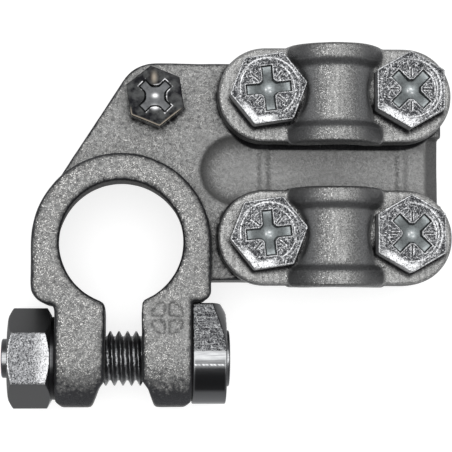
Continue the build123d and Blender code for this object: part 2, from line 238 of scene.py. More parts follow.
def mesh_piece(
    name: str,
    skins: list[Skin],
    place: Place,
    crease_deg: float = 32.0,
) -> Piece:
    """One Blender object from one or more closed skins.

    Args:
        name: the piece's name.
        skins: points, faces and masks of each skin, in the piece's own frame.
        place: where the piece stands.
        crease_deg: edges sharper than this are shaded as creases.

    Returns:
        The new object, linked to the scene.
    """
    points, faces, masks, start = [], [], {mask: [] for mask in Mask}, 0
    for skin_points, skin_faces, skin_masks in skins:
        points.append(skin_points)
        faces += [tuple(index + start for index in face) for face in skin_faces]
        for mask in Mask:
            masks[mask].append(skin_masks[mask])
        start += len(skin_points)
    mesh = bpy.data.meshes.new(name)
    mesh.from_pydata((place.move(np.concatenate(points)) * MM).tolist(), [], faces)
    for mask, values in masks.items():
        flat = np.concatenate(values).astype(np.float32)
        if flat.any():
            mesh.attributes.new(mask.value, "FLOAT", "POINT").data.foreach_set("value", flat)
    mesh.polygons.foreach_set("use_smooth", np.ones(len(mesh.polygons), bool))
    mesh.set_sharp_from_angle(angle=math.radians(crease_deg))
    mesh.update()
    piece = bpy.data.objects.new(name, mesh)
    bpy.context.scene.collection.objects.link(piece)
    return piece


# ---------------------------------------------------------------------------------------------
# Shader building
# ---------------------------------------------------------------------------------------------
@dataclass
class Graph:
    """A node tree with short ways to add and join nodes."""

    tree: bpy.types.NodeTree

    def add(self, kind: str, **settings: object) -> bpy.types.Node:
        """A new node with the given settings."""
        node = self.tree.nodes.new(kind)
        for name, value in settings.items():
            setattr(node, name, value)
        return node

    def join(self, start: Socket, end: Socket) -> None:
        """Links an output to an input."""
        self.tree.links.new(start, end)

    def feed(self, socket: Socket, value: object) -> None:
        """Links value to the socket if it is an output, and writes it there otherwise."""
        if isinstance(value, Socket):
            self.join(value, socket)
        else:
            socket.default_value = value

    def plug(self, node: bpy.types.Node, values: dict[str, object]) -> None:
        """Feeds a node's inputs by name."""
        for name, value in values.items():
            self.feed(node.inputs[name], value)

    def maths(self, operation: str, *values: object, clamp: bool = False) -> Socket:
        """The result of a Math node."""
        node = self.add("ShaderNodeMath", operation=operation, use_clamp=clamp)
        for socket, value in zip(node.inputs, values):
            self.feed(socket, value)
        return node.outputs[0]

    def times(self, a: object, b: object, clamp: bool = False) -> Socket:
        """The product of two values."""
        return self.maths("MULTIPLY", a, b, clamp=clamp)

    def rest(self, value: object) -> Socket:
        """What value leaves of 1."""
        return self.maths("SUBTRACT", 1.0, value)

    def vector(self, operation: str, *values: object) -> Socket:
        """The result of a Vector Math node that gives a vector."""
        node = self.add("ShaderNodeVectorMath", operation=operation)
        for socket, value in zip(node.inputs, values):
            self.feed(socket, value)
        return node.outputs[0]

    def scaled(self, vector: Socket, scale: object) -> Socket:
        """A vector times a number."""
        node = self.add("ShaderNodeVectorMath", operation="SCALE")
        self.join(vector, node.inputs[0])
        self.feed(node.inputs["Scale"], scale)
        return node.outputs[0]

    def split(self, vector: Socket) -> bpy.types.NodeOutputs:
        """The three parts of a vector."""
        node = self.add("ShaderNodeSeparateXYZ")
        self.join(vector, node.inputs[0])
        return node.outputs

    def span(
        self, value: object, low: object, high: object, start: object = 0.0, end: object = 1.0
    ) -> Socket:
        """Maps value from low..high to start..end, held at both ends."""
        node = self.add("ShaderNodeMapRange", clamp=True)
        for socket, given in zip(node.inputs, (value, low, high, start, end)):
            self.feed(socket, given)
        return node.outputs[0]

    def mix(self, factor: object, a: object, b: object) -> Socket:
        """A colour between a and b."""
        node = self.add("ShaderNodeMix", data_type="RGBA")
        self.feed(node.inputs[0], factor)
        self.feed(node.inputs[6], self.paint(a))
        self.feed(node.inputs[7], self.paint(b))
        return node.outputs[2]

    def blend(self, kind: str, factor: object, a: object, b: object) -> Socket:
        """A number or a vector between a and b."""
        node = self.add("ShaderNodeMix", data_type=kind)
        first, output = {"FLOAT": (2, 0), "VECTOR": (4, 1)}[kind]
        for index, given in ((0, factor), (first, a), (first + 1, b)):
            self.feed(node.inputs[index], given)
        return node.outputs[output]

    @staticmethod
    def paint(value: object) -> object:
        """A colour of three numbers gets its alpha."""
        return (*value, 1.0) if isinstance(value, tuple) and len(value) == 3 else value

    def place_mm(self, size: object) -> Socket:
        """The point on the piece, counted in steps of size millimetres."""
        spot = self.add("ShaderNodeTexCoord").outputs["Object"]
        return self.scaled(spot, self.maths("DIVIDE", 1 / MM, size))

    def noise(self, place: Socket, detail: float = 2.0, rough: float = 0.5) -> Socket:
        """Soft noise with features about one step wide."""
        node = self.add("ShaderNodeTexNoise", noise_dimensions="3D")
        self.plug(node, {"Vector": place, "Scale": 1.0, "Detail": detail, "Roughness": rough})
        return node.outputs["Fac"]

    def cells(self, place: Socket) -> Socket:
        """A random colour for each cell about one step wide."""
        node = self.add("ShaderNodeTexVoronoi", voronoi_dimensions="3D", feature="F1")
        self.plug(node, {"Vector": place, "Scale": 1.0})
        return node.outputs["Color"]


@dataclass
class EffectGroup:
    """A shared surface effect, built once as a node group.

    Attributes:
        name: the group's name.
        inputs: the value of each input before a material sets it.
        outputs: the socket type of each output.
        build: fills the group, given its graph and its input sockets, and returns its outputs.
    """

    name: str
    inputs: dict[str, float]
    outputs: dict[str, str]
    build: Callable[[Graph, Sockets], Sockets]
    tree: bpy.types.NodeTree | None = None

    def place(self, graph: Graph, **values: float) -> Sockets:
        """Puts the effect in a material with its own values.

        Args:
            graph: the material's graph.
            values: input values by lower-case name with underscores.

        Returns:
            The outputs by name.
        """
        if self.tree is None:
            self.tree = self.make()
        node = graph.add("ShaderNodeGroup", node_tree=self.tree)
        for label in self.inputs:
            key = label.lower().replace(" ", "_")
            if key in values:
                node.inputs[label].default_value = values[key]
        return {label: node.outputs[label] for label in self.outputs}

    def make(self) -> bpy.types.NodeTree:
        """Builds the group's own tree."""
        tree = bpy.data.node_groups.new(self.name, "ShaderNodeTree")
        for label, value in self.inputs.items():
            socket = tree.interface.new_socket(name=label, in_out="INPUT", socket_type="NodeSocketFloat")
            socket.default_value = value
        for label, kind in self.outputs.items():
            tree.interface.new_socket(name=label, in_out="OUTPUT", socket_type=kind)
        graph = Graph(tree)
        start = graph.add("NodeGroupInput")
        end = graph.add("NodeGroupOutput")
        given = {label: start.outputs[label] for label in self.inputs}
        for label, socket in self.build(graph, given).items():
            graph.join(socket, end.inputs[label])
        return tree


FLOAT, VECTOR = "NodeSocketFloat", "NodeSocketVector"
RAGGED_MM = 0.6
WALL_TILTS = (0.12, 0.35)


def build_grain(graph: Graph, given: Sockets) -> Sockets:
    """Sand grain: a tone for colour and gloss, and a height for a bump."""
    coarse = graph.noise(graph.place_mm(given["Coarse"]), detail=3.0, rough=0.6)
    fine = graph.noise(graph.place_mm(given["Fine"]), detail=2.0, rough=0.7)
    both = graph.maths("ADD", graph.times(coarse, 0.5), graph.times(fine, 0.5))
    return {"Tone": graph.span(both, 0.34, 0.66), "Height": both}


def build_facets(graph: Graph, given: Sockets) -> Sockets:
    """Small crystals: each cell leans its own way, and some are marked as brighter."""
    colour = graph.cells(graph.place_mm(given["Size"]))
    lean = graph.scaled(graph.vector("SUBTRACT", colour, (0.5, 0.5, 0.5)), given["Lean"])
    plain = graph.add("ShaderNodeNewGeometry").outputs["Normal"]
    normal = graph.vector("NORMALIZE", graph.vector("ADD", plain, lean))
    parts = graph.add("ShaderNodeSeparateColor")
    graph.join(colour, parts.inputs[0])
    marked = graph.maths("GREATER_THAN", parts.outputs[0], graph.rest(given["Share"]))
    return {"Normal": normal, "Marked": marked, "Tone": parts.outputs[1]}


def build_flank(graph: Graph, given: Sockets) -> Sockets:
    """Marks steep faces and upright walls; Below 0 counts undersides as steep, Below 1 as level."""
    upward = graph.split(graph.add("ShaderNodeTexCoord").outputs["Normal"])[2]
    under = graph.times(upward, graph.maths("SUBTRACT", given["Below"], 1.0))
    level = graph.maths("MAXIMUM", upward, under)
    edge_noise = graph.noise(graph.place_mm(RAGGED_MM), detail=3.0, rough=0.65)
    ragged = graph.span(edge_noise, 0.3, 0.7, -1.0, 1.0)
    level = graph.maths("ADD", level, graph.times(ragged, given["Ragged"]))
    return {
        "Mask": graph.span(level, given["Steep"], given["Level"], 1.0, 0.0),
        "Wall": graph.span(upward, *WALL_TILTS, 1.0, 0.0),
    }


def build_mottle(graph: Graph, given: Sockets) -> Sockets:
    """Soft blotches over a few millimetres."""
    cloud = graph.noise(graph.place_mm(given["Size"]), detail=4.0, rough=0.6)
    return {"Mask": graph.span(cloud, 0.38, 0.64)}


def build_streaks(graph: Graph, given: Sockets) -> Sockets:
    """Fine drawn lines along the axis whose steps are few."""
    steps = graph.add("ShaderNodeCombineXYZ")
    graph.plug(steps, {"X": given["Steps X"], "Y": given["Steps Y"], "Z": 1.0})
    drawn = graph.vector("MULTIPLY", graph.place_mm(given["Size"]), steps.outputs[0])
    return {"Tone": graph.span(graph.noise(drawn), 0.35, 0.65)}


def build_lines(graph: Graph, given: Sockets) -> Sockets:
    """Thin curved lines, as an etch leaves them."""
    ripple = graph.noise(graph.place_mm(given["Size"]), detail=1.5)
    away = graph.maths("ABSOLUTE", graph.maths("SUBTRACT", ripple, 0.5))
    return {"Mask": graph.span(away, 0.0, given["Width"], 1.0, 0.0)}


GRAIN = EffectGroup(
    "SandGrain", {"Coarse": 0.6, "Fine": 0.2}, {"Tone": FLOAT, "Height": FLOAT}, build_grain
)
FACETS = EffectGroup(
    "Crystals",
    {"Size": 0.2, "Lean": 0.4, "Share": 0.1},
    {"Normal": VECTOR, "Marked": FLOAT, "Tone": FLOAT},
    build_facets,
)
FLANK = EffectGroup(
    "SteepFaces",
    {"Steep": 0.6, "Level": 0.92, "Ragged": 0.0, "Below": 0.0},
    {"Mask": FLOAT, "Wall": FLOAT},
    build_flank,
)
MOTTLE = EffectGroup("Blotches", {"Size": 3.0}, {"Mask": FLOAT}, build_mottle)
STREAKS = EffectGroup(
    "DrawnLines", {"Size": 0.3, "Steps X": 1.0, "Steps Y": 0.08}, {"Tone": FLOAT}, build_streaks
)
LINES = EffectGroup("EtchLines", {"Size": 0.5, "Width": 0.08}, {"Mask": FLOAT}, build_lines)


def new_material(name: str) -> tuple[Material, Graph, bpy.types.Node]:
    """A material with a Principled shader joined to its output."""
    material = bpy.data.materials.new(name)
    material.use_nodes = True
    material.node_tree.nodes.clear()
    graph = Graph(material.node_tree)
    shader = graph.add("ShaderNodeBsdfPrincipled")
    output = graph.add("ShaderNodeOutputMaterial")
    graph.join(shader.outputs[0], output.inputs["Surface"])
    return material, graph, shader


def mask_of(graph: Graph, mask: Mask) -> Socket:
    """The value of a vertex mask."""
    return graph.add("ShaderNodeAttribute", attribute_name=mask.value).outputs["Fac"]


def bump(graph: Graph, height: Socket, depth_mm: float, normal: Socket | None = None) -> Socket:
    """A Bump node's normal.

    Args:
        graph: the material's graph.
        height: the height, from 0 to 1.
        depth_mm: how deep that height is.
        normal: a normal that the bump is laid on.

    Returns:
        The bumped normal.
    """
    node = graph.add("ShaderNodeBump")
    graph.plug(node, {"Distance": depth_mm * MM, "Strength": 1.0, "Height": height})
    if normal is not None:
        graph.join(normal, node.inputs["Normal"])
    return node.outputs["Normal"]


# ---------------------------------------------------------------------------------------------
# Finishes
# ---------------------------------------------------------------------------------------------
@dataclass(frozen=True)
class CastFinish:
    """Tin-plated sand casting: dull grey with a sparkling grain, painted darker on its flanks as painted
    shade.

    Attributes:
        low_tone: the grain's dark side, with high_tone the light one.
        flank: the painted shade on steep faces, with wall on upright ones.
        hollow: a lighter colour that sheltered hollows are painted towards by hollow_share, a painted lift
            of light.
        blotch_mm: size of the clouds, and blotch_share how much they cover.
        cluster_mm: size of the clusters that sparkles gather in, with cluster_gain.
        sparkle_heights: heights between which sparkles grow from low_sparkle to full.
        scratch_crystals: crystal tones between which a scratch shows.
        outside_value_in_hollows: what the outside-hollows factor falls to in a sheltered hollow, where it
            thins the painted flank shade, the sparkles and the scratches.
        edge_tint: tint of the glancing sheen, whose level is sheen.
        rough: gloss of dark and light grain, flank_rough is added on flanks.
        steep: upward part of a normal that counts as flank, level as none.
    """

    name: str = "TinnedCasting"
    low_tone: Colour = (0.125, 0.126, 0.126)
    high_tone: Colour = (0.33, 0.331, 0.326)
    sparkle: Colour = (0.82, 0.81, 0.79)
    flank: Colour = (0.055, 0.056, 0.06)
    wall: Colour = (0.27, 0.271, 0.267)
    blotch: Colour = (0.17, 0.167, 0.162)
    # the colour of the painted shade and painted shadow
    painted_shade_colour: Colour = (0.012, 0.012, 0.013)
    hollow: Colour = (0.36, 0.36, 0.358)
    grain_mm: tuple[float, float] = (0.5, 0.14)
    crystal_mm: float = 0.105
    lean: float = 0.6
    sparkle_share: float = 0.13
    sparkle_cover: float = 0.85
    sparkle_heights: tuple[float, float] = (9.2, 10.5)
    low_sparkle: float = 0.45
    cluster_mm: float = 1.7
    cluster_gain: tuple[float, float] = (0.5, 1.5)
    blotch_mm: float = 3.5
    blotch_share: float = 0.35
    scratch_mm: float = 2.6
    scratch_width: float = 0.012
    scratch_crystals: tuple[float, float] = (0.3, 0.6)
    scratch_cover: float = 0.8
    outside_value_in_hollows: float = 0.10
    hollow_share: float = 0.35
    edge_tint: float = 0.55
    sheen: float = 0.2
    metal: float = 0.85
    metal_in_hollow: float = 0.45
    rough: tuple[float, float] = (0.52, 0.40)
    flank_rough: float = 0.12
    bump_mm: float = 0.05
    steep: float = 0.72
    level: float = 0.975
    ragged: float = 0.16

    def material(self) -> Material:
        """Builds the finish."""
        material, graph, shader = new_material(self.name)
        coarse, fine = self.grain_mm
        grain = GRAIN.place(graph, coarse=coarse, fine=fine)
        facets = FACETS.place(graph, size=self.crystal_mm, lean=self.lean, share=self.sparkle_share)
        sides = FLANK.place(graph, steep=self.steep, level=self.level, ragged=self.ragged)
        outside_hollows = graph.span(mask_of(graph, Mask.SHELTERED), 0.0, 1.0, 1.0, self.outside_value_in_hollows)
        flank = graph.times(sides["Mask"], outside_hollows)
        cloud = MOTTLE.place(graph, size=self.blotch_mm)["Mask"]
        colour = graph.mix(grain["Tone"], self.low_tone, self.high_tone)
        colour = graph.mix(graph.times(cloud, self.blotch_share), colour, self.blotch)
        # sparkles painted fewer on flanks, a painted shade
        colour = graph.mix(self.sparkles(graph, facets["Marked"], flank, outside_hollows), colour, self.sparkle)
        scratches = self.scratches(graph, facets["Tone"], outside_hollows)
        colour = graph.mix(graph.times(scratches, cloud), colour, self.sparkle)
        # painted lift of light: sheltered hollows are painted lighter
        sunk = graph.span(outside_hollows, self.outside_value_in_hollows, 1.0, self.hollow_share, 0.0)
        colour = graph.mix(sunk, colour, self.hollow)
        # painted shade: steep faces take the flank colour; upright walls then take a grain tone instead
        colour = graph.mix(flank, colour, self.flank)
        walls = graph.mix(grain["Tone"], self.low_tone, self.wall)
        colour = graph.mix(sides["Wall"], colour, walls)
        metal = graph.span(outside_hollows, self.outside_value_in_hollows, 1.0, self.metal_in_hollow, self.metal)
        rough = graph.span(grain["Tone"], 0.0, 1.0, *self.rough)
        settings = {
            # painted shade and painted shadow from the vertex mask
            "Base Color": graph.mix(mask_of(graph, Mask.GRIME), colour, self.painted_shade_colour),
            "Metallic": metal,
            "Specular Tint": (self.edge_tint,) * 3 + (1.0,),
            "Specular IOR Level": self.sheen,
            "Roughness": graph.maths("ADD", rough, graph.times(flank, self.flank_rough)),
            "Normal": bump(graph, grain["Height"], self.bump_mm, facets["Normal"]),
        }
        graph.plug(shader, settings)
        return material

    def sparkles(self, graph: Graph, marked: Socket, flank: Socket, outside_hollows: Socket) -> Socket:
        """How strongly each marked crystal is painted as a sparkle: less on flanks, a painted shade, and
        less in hollows and low down.
        """
        shining = graph.times(graph.times(marked, graph.rest(flank)), outside_hollows)
        height = graph.split(graph.place_mm(1.0))[2]
        shining = graph.times(shining, graph.span(height, *self.sparkle_heights, self.low_sparkle, 1.0))
        clusters = MOTTLE.place(graph, size=self.cluster_mm)["Mask"]
        shining = graph.times(shining, graph.span(clusters, 0.0, 1.0, *self.cluster_gain), clamp=True)
        return graph.times(shining, self.sparkle_cover)

    def scratches(self, graph: Graph, tone: Socket, outside_hollows: Socket) -> Socket:
        """Thin broken scratches in the open."""
        lines = LINES.place(graph, size=self.scratch_mm, width=self.scratch_width)["Mask"]
        broken = graph.span(tone, *self.scratch_crystals, 0.0, self.scratch_cover)
        return graph.times(graph.times(lines, broken), outside_hollows)


@dataclass(frozen=True)
class SaddleFinish:
    """The saddles' casting: the same metal with drawn lines over the hump, painted shade on its steep
    faces and flats painted lighter than the hump.

    Attributes:
        low_tone: the hump's dark side, with high_tone the light one.
        flat_low: the flats' dark side, with flat_high the light one, lighter than the hump's as a painted
            lift of light.
        line_share: how much of the tone the drawn lines make, grain the rest.
        slopes: steep, level and ragged of FLANK on the flats, then on the hump.
        flank_metal: how metallic a flank is, metal elsewhere.
    """

    name: str = "TinnedSaddle"
    low_tone: Colour = (0.16, 0.16, 0.158)
    high_tone: Colour = (0.30, 0.30, 0.295)
    flat_low: Colour = (0.17, 0.17, 0.168)
    flat_high: Colour = (0.43, 0.43, 0.424)
    sparkle: Colour = (0.75, 0.745, 0.73)
    # painted shade on steep faces
    flank: Colour = (0.21, 0.212, 0.216)
    # the colour of the painted shade and painted shadow
    painted_shade_colour: Colour = (0.012, 0.012, 0.013)
    grain_mm: tuple[float, float] = (0.5, 0.18)
    crystal_mm: float = 0.11
    lean: float = 0.5
    sparkle_share: float = 0.1
    sparkle_cover: float = 0.75
    line_mm: float = 0.45
    line_share: float = 0.4
    slopes: tuple[tuple[float, float, float], ...] = ((0.4, 0.9, 0.0), (0.80, 1.0, 0.03))
    metal: float = 0.88
    flank_metal: float = 0.35
    rough: tuple[float, float] = (0.50, 0.38)
    bump_mm: float = 0.045

    def material(self) -> Material:
        """Builds the finish."""
        material, graph, shader = new_material(self.name)
        coarse, fine = self.grain_mm
        grain = GRAIN.place(graph, coarse=coarse, fine=fine)
        facets = FACETS.place(graph, size=self.crystal_mm, lean=self.lean, share=self.sparkle_share)
        lines = STREAKS.place(graph, size=self.line_mm)["Tone"]
        on_hump = mask_of(graph, Mask.SHELTERED)
        flat_flank, hump_flank = (
            FLANK.place(graph, steep=steep, level=level, ragged=ragged)["Mask"]
            for steep, level, ragged in self.slopes
        )
        flank = graph.blend("FLOAT", on_hump, flat_flank, hump_flank)
        grained = graph.times(grain["Tone"], 1 - self.line_share)
        tone = graph.maths("ADD", grained, graph.times(lines, self.line_share))
        # painted lift of light: the flats take lighter tones than the hump
        flat = graph.mix(tone, self.flat_low, self.flat_high)
        colour = graph.mix(on_hump, flat, graph.mix(tone, self.low_tone, self.high_tone))
        # sparkles painted fewer on flanks, a painted shade
        shining = graph.times(facets["Marked"], graph.rest(flank))
        colour = graph.mix(graph.times(shining, self.sparkle_cover), colour, self.sparkle)
        # painted shade on steep faces
        colour = graph.mix(flank, colour, self.flank)
        settings = {
            # painted shade and painted shadow from the vertex mask
            "Base Color": graph.mix(mask_of(graph, Mask.GRIME), colour, self.painted_shade_colour),
            "Metallic": graph.span(flank, 0.0, 1.0, self.metal, self.flank_metal),
            "Roughness": graph.span(tone, 0.0, 1.0, *self.rough),
            "Normal": bump(graph, grain["Height"], self.bump_mm, facets["Normal"]),
        }
        graph.plug(shader, settings)
        return material


@dataclass(frozen=True)
class ZincFinish:
    """Bright zinc plating: crystals on the etched faces, smooth in recesses and on the flanks, with
    painted shade on steep faces and painted highlights.

    Attributes:
        dark: the crystals' dark side, with light the light one.
        line: of the etched lines, line_mm apart and line_width thick.
        bright: the colour of the painted highlights on edges, rim, lips and spots.
        smooth: on faces that aren't etched.
        drawn: how strongly drawn lines show on the etched faces.
        drawn_on_smooth: how strongly they darken the smooth faces, and the walls likewise.
        rough: gloss of smooth and etched faces; floor_rough and flank_rough are added there.
        smooth_bump: share of the bump that smooth faces keep.
        line_tones: grain tones between which a line grows from faint to full.
        drawn_tones: tones of the drawn lines that count as bright lines.
        recess_tones: grain tones between which a recess grows from faint to full.
        patch_tones: crystal tones between which a painted glint does.
        faint_line: the faintest line, with faint_patch for recesses and spots.
    """

    name: str
    dark: Colour = (0.022, 0.0225, 0.025)
    light: Colour = (0.088, 0.09, 0.094)
    line: Colour = (0.54, 0.545, 0.555)
    bright: Colour = (0.62, 0.625, 0.635)
    recess: Colour = (0.28, 0.306, 0.31)
    # painted shade on steep faces that carry no etch
    flank: Colour = (0.10, 0.102, 0.107)
    wall: Colour = (0.48, 0.485, 0.495)
    smooth: Colour = (0.32, 0.325, 0.33)
    # the colour of the painted shade and painted shadow
    painted_shade_colour: Colour = (0.008, 0.008, 0.009)
    crystal_mm: float = 0.15
    lean: float = 0.5
    crystal_tones: tuple[float, float] = (0.05, 0.45)
    grain_mm: tuple[float, float] = (0.5, 0.14)
    line_mm: float = 0.45
    line_width: float = 0.05
    drawn_mm: float = 0.22
    drawn_steps: float = 0.08
    drawn: float = 0.0
    drawn_on_smooth: float = 0.5
    drawn_on_wall: float = 0.45
    rough: tuple[float, float] = (0.20, 0.30)
    floor_rough: float = 0.25
    flank_rough: float = 0.30
    bump_mm: float = 0.06
    smooth_bump: float = 0.12
    line_tones: tuple[float, float] = (0.2, 0.7)
    drawn_tones: tuple[float, float] = (0.6, 0.9)
    recess_tones: tuple[float, float] = (0.1, 0.75)
    patch_tones: tuple[float, float] = (0.02, 0.25)
    faint_line: float = 0.1
    faint_patch: float = 0.35
    steep: float = 0.93
    level: float = 0.985

    def material(self) -> Material:
        """Builds the finish."""
        material, graph, shader = new_material(self.name)
        facets = FACETS.place(graph, size=self.crystal_mm, lean=self.lean)
        coarse, fine = self.grain_mm
        grain = GRAIN.place(graph, coarse=coarse, fine=fine)
        sides = FLANK.place(graph, steep=self.steep, level=self.level, below=1.0)
        etched, floor = mask_of(graph, Mask.ETCHED), mask_of(graph, Mask.RECESS)
        flank = graph.times(sides["Mask"], graph.rest(etched))
        drawn = STREAKS.place(graph, size=self.drawn_mm, steps_x=self.drawn_steps, steps_y=1.0)["Tone"]
        tone = graph.times(facets["Tone"], grain["Tone"])
        colour = graph.mix(graph.span(tone, *self.crystal_tones), self.dark, self.light)
        colour = graph.mix(self.lines(graph, grain["Tone"], drawn), colour, self.line)
        smooth = graph.mix(graph.times(drawn, self.drawn_on_smooth), self.smooth, self.flank)
        colour = graph.mix(etched, smooth, colour)
        # painted highlights on edges, rim, lips and lines
        colour = graph.mix(mask_of(graph, Mask.BRIGHT), colour, self.bright)
        # painted shade on steep faces; upright walls take the wall tone instead
        colour = graph.mix(flank, colour, self.flank)
        walls = graph.mix(graph.times(drawn, self.drawn_on_wall), self.wall, self.flank)
        colour = graph.mix(graph.times(sides["Wall"], flank), colour, walls)
        recess_tone = graph.span(grain["Tone"], *self.recess_tones, self.faint_patch)
        colour = graph.mix(floor, colour, graph.mix(recess_tone, self.flank, self.recess))
        # painted glints: spots, arcs and lines
        patchy = graph.span(tone, *self.patch_tones, self.faint_patch)
        patchy = graph.times(mask_of(graph, Mask.POLISHED), patchy)
        colour = graph.mix(patchy, colour, self.bright)
        rough = graph.span(etched, 0.0, 1.0, *self.rough)
        for where, more in ((floor, self.floor_rough), (flank, self.flank_rough)):
            rough = graph.maths("ADD", rough, graph.times(where, more))
        depth = graph.times(grain["Height"], graph.span(etched, 0.0, 1.0, self.smooth_bump))
        normal = self.etched_normal(graph, etched, facets["Normal"])
        settings = {
            # painted shade and painted shadow from the vertex mask
            "Base Color": graph.mix(mask_of(graph, Mask.GRIME), colour, self.painted_shade_colour),
            "Metallic": 1.0,
            "Roughness": rough,
            "Normal": bump(graph, depth, self.bump_mm, normal),
        }
        graph.plug(shader, settings)
        return material

    def lines(self, graph: Graph, grain_tone: Socket, drawn: Socket) -> Socket:
        """Etched lines, broken by the grain, with the drawn lines on top."""
        etch = LINES.place(graph, size=self.line_mm, width=self.line_width)["Mask"]
        etch = graph.times(etch, graph.span(grain_tone, *self.line_tones, self.faint_line))
        return graph.maths("MAXIMUM", etch, graph.span(drawn, *self.drawn_tones, 0.0, self.drawn))

    @staticmethod
    def etched_normal(graph: Graph, etched: Socket, crystal_normal: Socket) -> Socket:
        """The crystals' normals on etched faces and the plain one elsewhere."""
        plain = graph.add("ShaderNodeNewGeometry").outputs["Normal"]
        return graph.vector("NORMALIZE", graph.blend("VECTOR", etched, plain, crystal_normal))


@dataclass(frozen=True)
class ChromeFinish:
    """Dark glossy plating with painted highlights on its lip and spots, a painted brown reflection and
    painted shade on its flanks.

    Attributes:
        dark: between the clouds, with mid in them.
        painted_shine: the colour of the painted highlights on the lip and spots.
        patch_tones: cloud tones between which the painted highlight on the lip shows.
        floor_cover: how much of the recess colour shows between and in the clouds.
    """

    name: str = "DarkChrome"
    dark: Colour = (0.006, 0.006, 0.007)
    mid: Colour = (0.035, 0.036, 0.036)
    painted_shine: Colour = (0.55, 0.55, 0.56)
    recess: Colour = (0.075, 0.077, 0.08)
    # a painted brown reflection, also laid as a painted highlight line along the lower edges
    painted_reflection: Colour = (0.16, 0.14, 0.115)
    # painted shade on steep faces
    flank: Colour = (0.006, 0.0055, 0.005)
    # the colour of the painted shade and painted shadow
    painted_shade_colour: Colour = (0.004, 0.004, 0.004)
    grain_mm: tuple[float, float] = (0.9, 0.3)
    cloud_mm: float = 1.1
    patch_mm: float = 1.6
    patch_tones: tuple[float, float] = (0.45, 0.85)
    floor_cover: tuple[float, float] = (0.55, 1.0)
    rough: tuple[float, float] = (0.16, 0.27)
    bump_mm: float = 0.03
    steep: float = 0.5
    level: float = 0.9

    def material(self) -> Material:
        """Builds the finish."""
        material, graph, shader = new_material(self.name)
        coarse, fine = self.grain_mm
        grain = GRAIN.place(graph, coarse=coarse, fine=fine)
        cloud = MOTTLE.place(graph, size=self.cloud_mm)["Mask"]
        patches = MOTTLE.place(graph, size=self.patch_mm)["Mask"]
        flank = FLANK.place(graph, steep=self.steep, level=self.level, below=1.0)["Mask"]
        colour = graph.mix(cloud, self.dark, self.mid)
        # painted brown reflection and painted highlight line along the lower edges
        colour = graph.mix(mask_of(graph, Mask.ETCHED), colour, self.painted_reflection)
        # painted shade on steep faces
        colour = graph.mix(flank, colour, self.flank)
        on_floor = graph.times(mask_of(graph, Mask.RECESS), graph.span(cloud, 0.0, 1.0, *self.floor_cover))
        colour = graph.mix(on_floor, colour, self.recess)
        # painted highlights on the recess lip and glint spots
        painted_shine = graph.times(mask_of(graph, Mask.BRIGHT), graph.span(patches, *self.patch_tones))
        painted_shine = graph.maths("MAXIMUM", painted_shine, mask_of(graph, Mask.POLISHED))
        colour = graph.mix(painted_shine, colour, self.painted_shine)
        settings = {
            # painted shade and painted shadow from the vertex mask
            "Base Color": graph.mix(mask_of(graph, Mask.GRIME), colour, self.painted_shade_colour),
            "Metallic": 1.0,
            "Roughness": graph.span(grain["Tone"], 0.0, 1.0, *self.rough),
            "Normal": bump(graph, grain["Height"], self.bump_mm),
        }
        graph.plug(shader, settings)
        return material


# ---------------------------------------------------------------------------------------------
# Castings
# ---------------------------------------------------------------------------------------------
@dataclass(frozen=True)
class Unevenness:
    """How a sand casting's skin strays inwards from its true shape.

    Attributes:
        depth_mm: the deepest stray of each kind of wave.
        width_mm: how wide each kind of wave is.
    """

    depth_mm: tuple[float, ...] = (0.10, 0.03)
    width_mm: tuple[float, ...] = (4.5, 1.3)

    def at(self, point_mm: Vector) -> float:
        """How far in the skin lies at a point, in millimetres, never below 0."""
        total = 0.0
        for depth, width in zip(self.depth_mm, self.width_mm):
            total += depth * (0.5 + 0.5 * noise.noise(point_mm / width))
        return total


@dataclass(frozen=True)
class Zone:
    """A box of space with soft sides, in millimetres."""

    low: tuple[float, float, float]
    high: tuple[float, float, float]
    strength: float = 1.0
    fade: float = 0.5

    def at(self, points: Array, normals: Array) -> Array:
        """The zone's strength at each point, 0 outside."""
        inside = np.minimum(points - np.array(self.low), np.array(self.high) - points).min(axis=1)
        return self.strength * smooth_step(0.0, self.fade, inside)


@dataclass(frozen=True)
class PaintedShadowRing:
    """A painted shadow round a screw head, on its lower side.

    Attributes:
        node: the screw's CAD node.
        across_flats: of its head.
        corner_deg: the angle of one corner.
        head_height: of its head.
        reach: how far the painted shadow lies beyond the head.
    """

    node: str
    across_flats: float
    corner_deg: float
    head_height: float
    reach: float = 0.4

    def at(self, points: Array, normals: Array) -> Array:
        """How dark the painted shadow is at each point, from 0 to 1."""
        low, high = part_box(self.node)
        centre = (low + high) / 2 / MM
        away = points - np.array((centre.x, centre.y, high.z / MM - self.head_height))
        angles = np.arctan2(away[:, 1], away[:, 0])
        outline = hexagon(angles, self.across_flats, self.corner_deg, HEAD_CORNER_POWER)
        beyond = np.hypot(away[:, 0], away[:, 1]) - outline
        level = (np.abs(away[:, 2]) < 0.4) & (normals[:, 2] > 0.9)
        # the painted shadow falls on the lower side, reaching further towards +X
        lower_side = smooth_step(-0.1, 0.4, -np.sin(angles))
        reach = self.reach * (1.5 + 0.5 * np.cos(angles))
        return (1 - smooth_step(0.4, 1.5, beyond / reach)) * level * lower_side


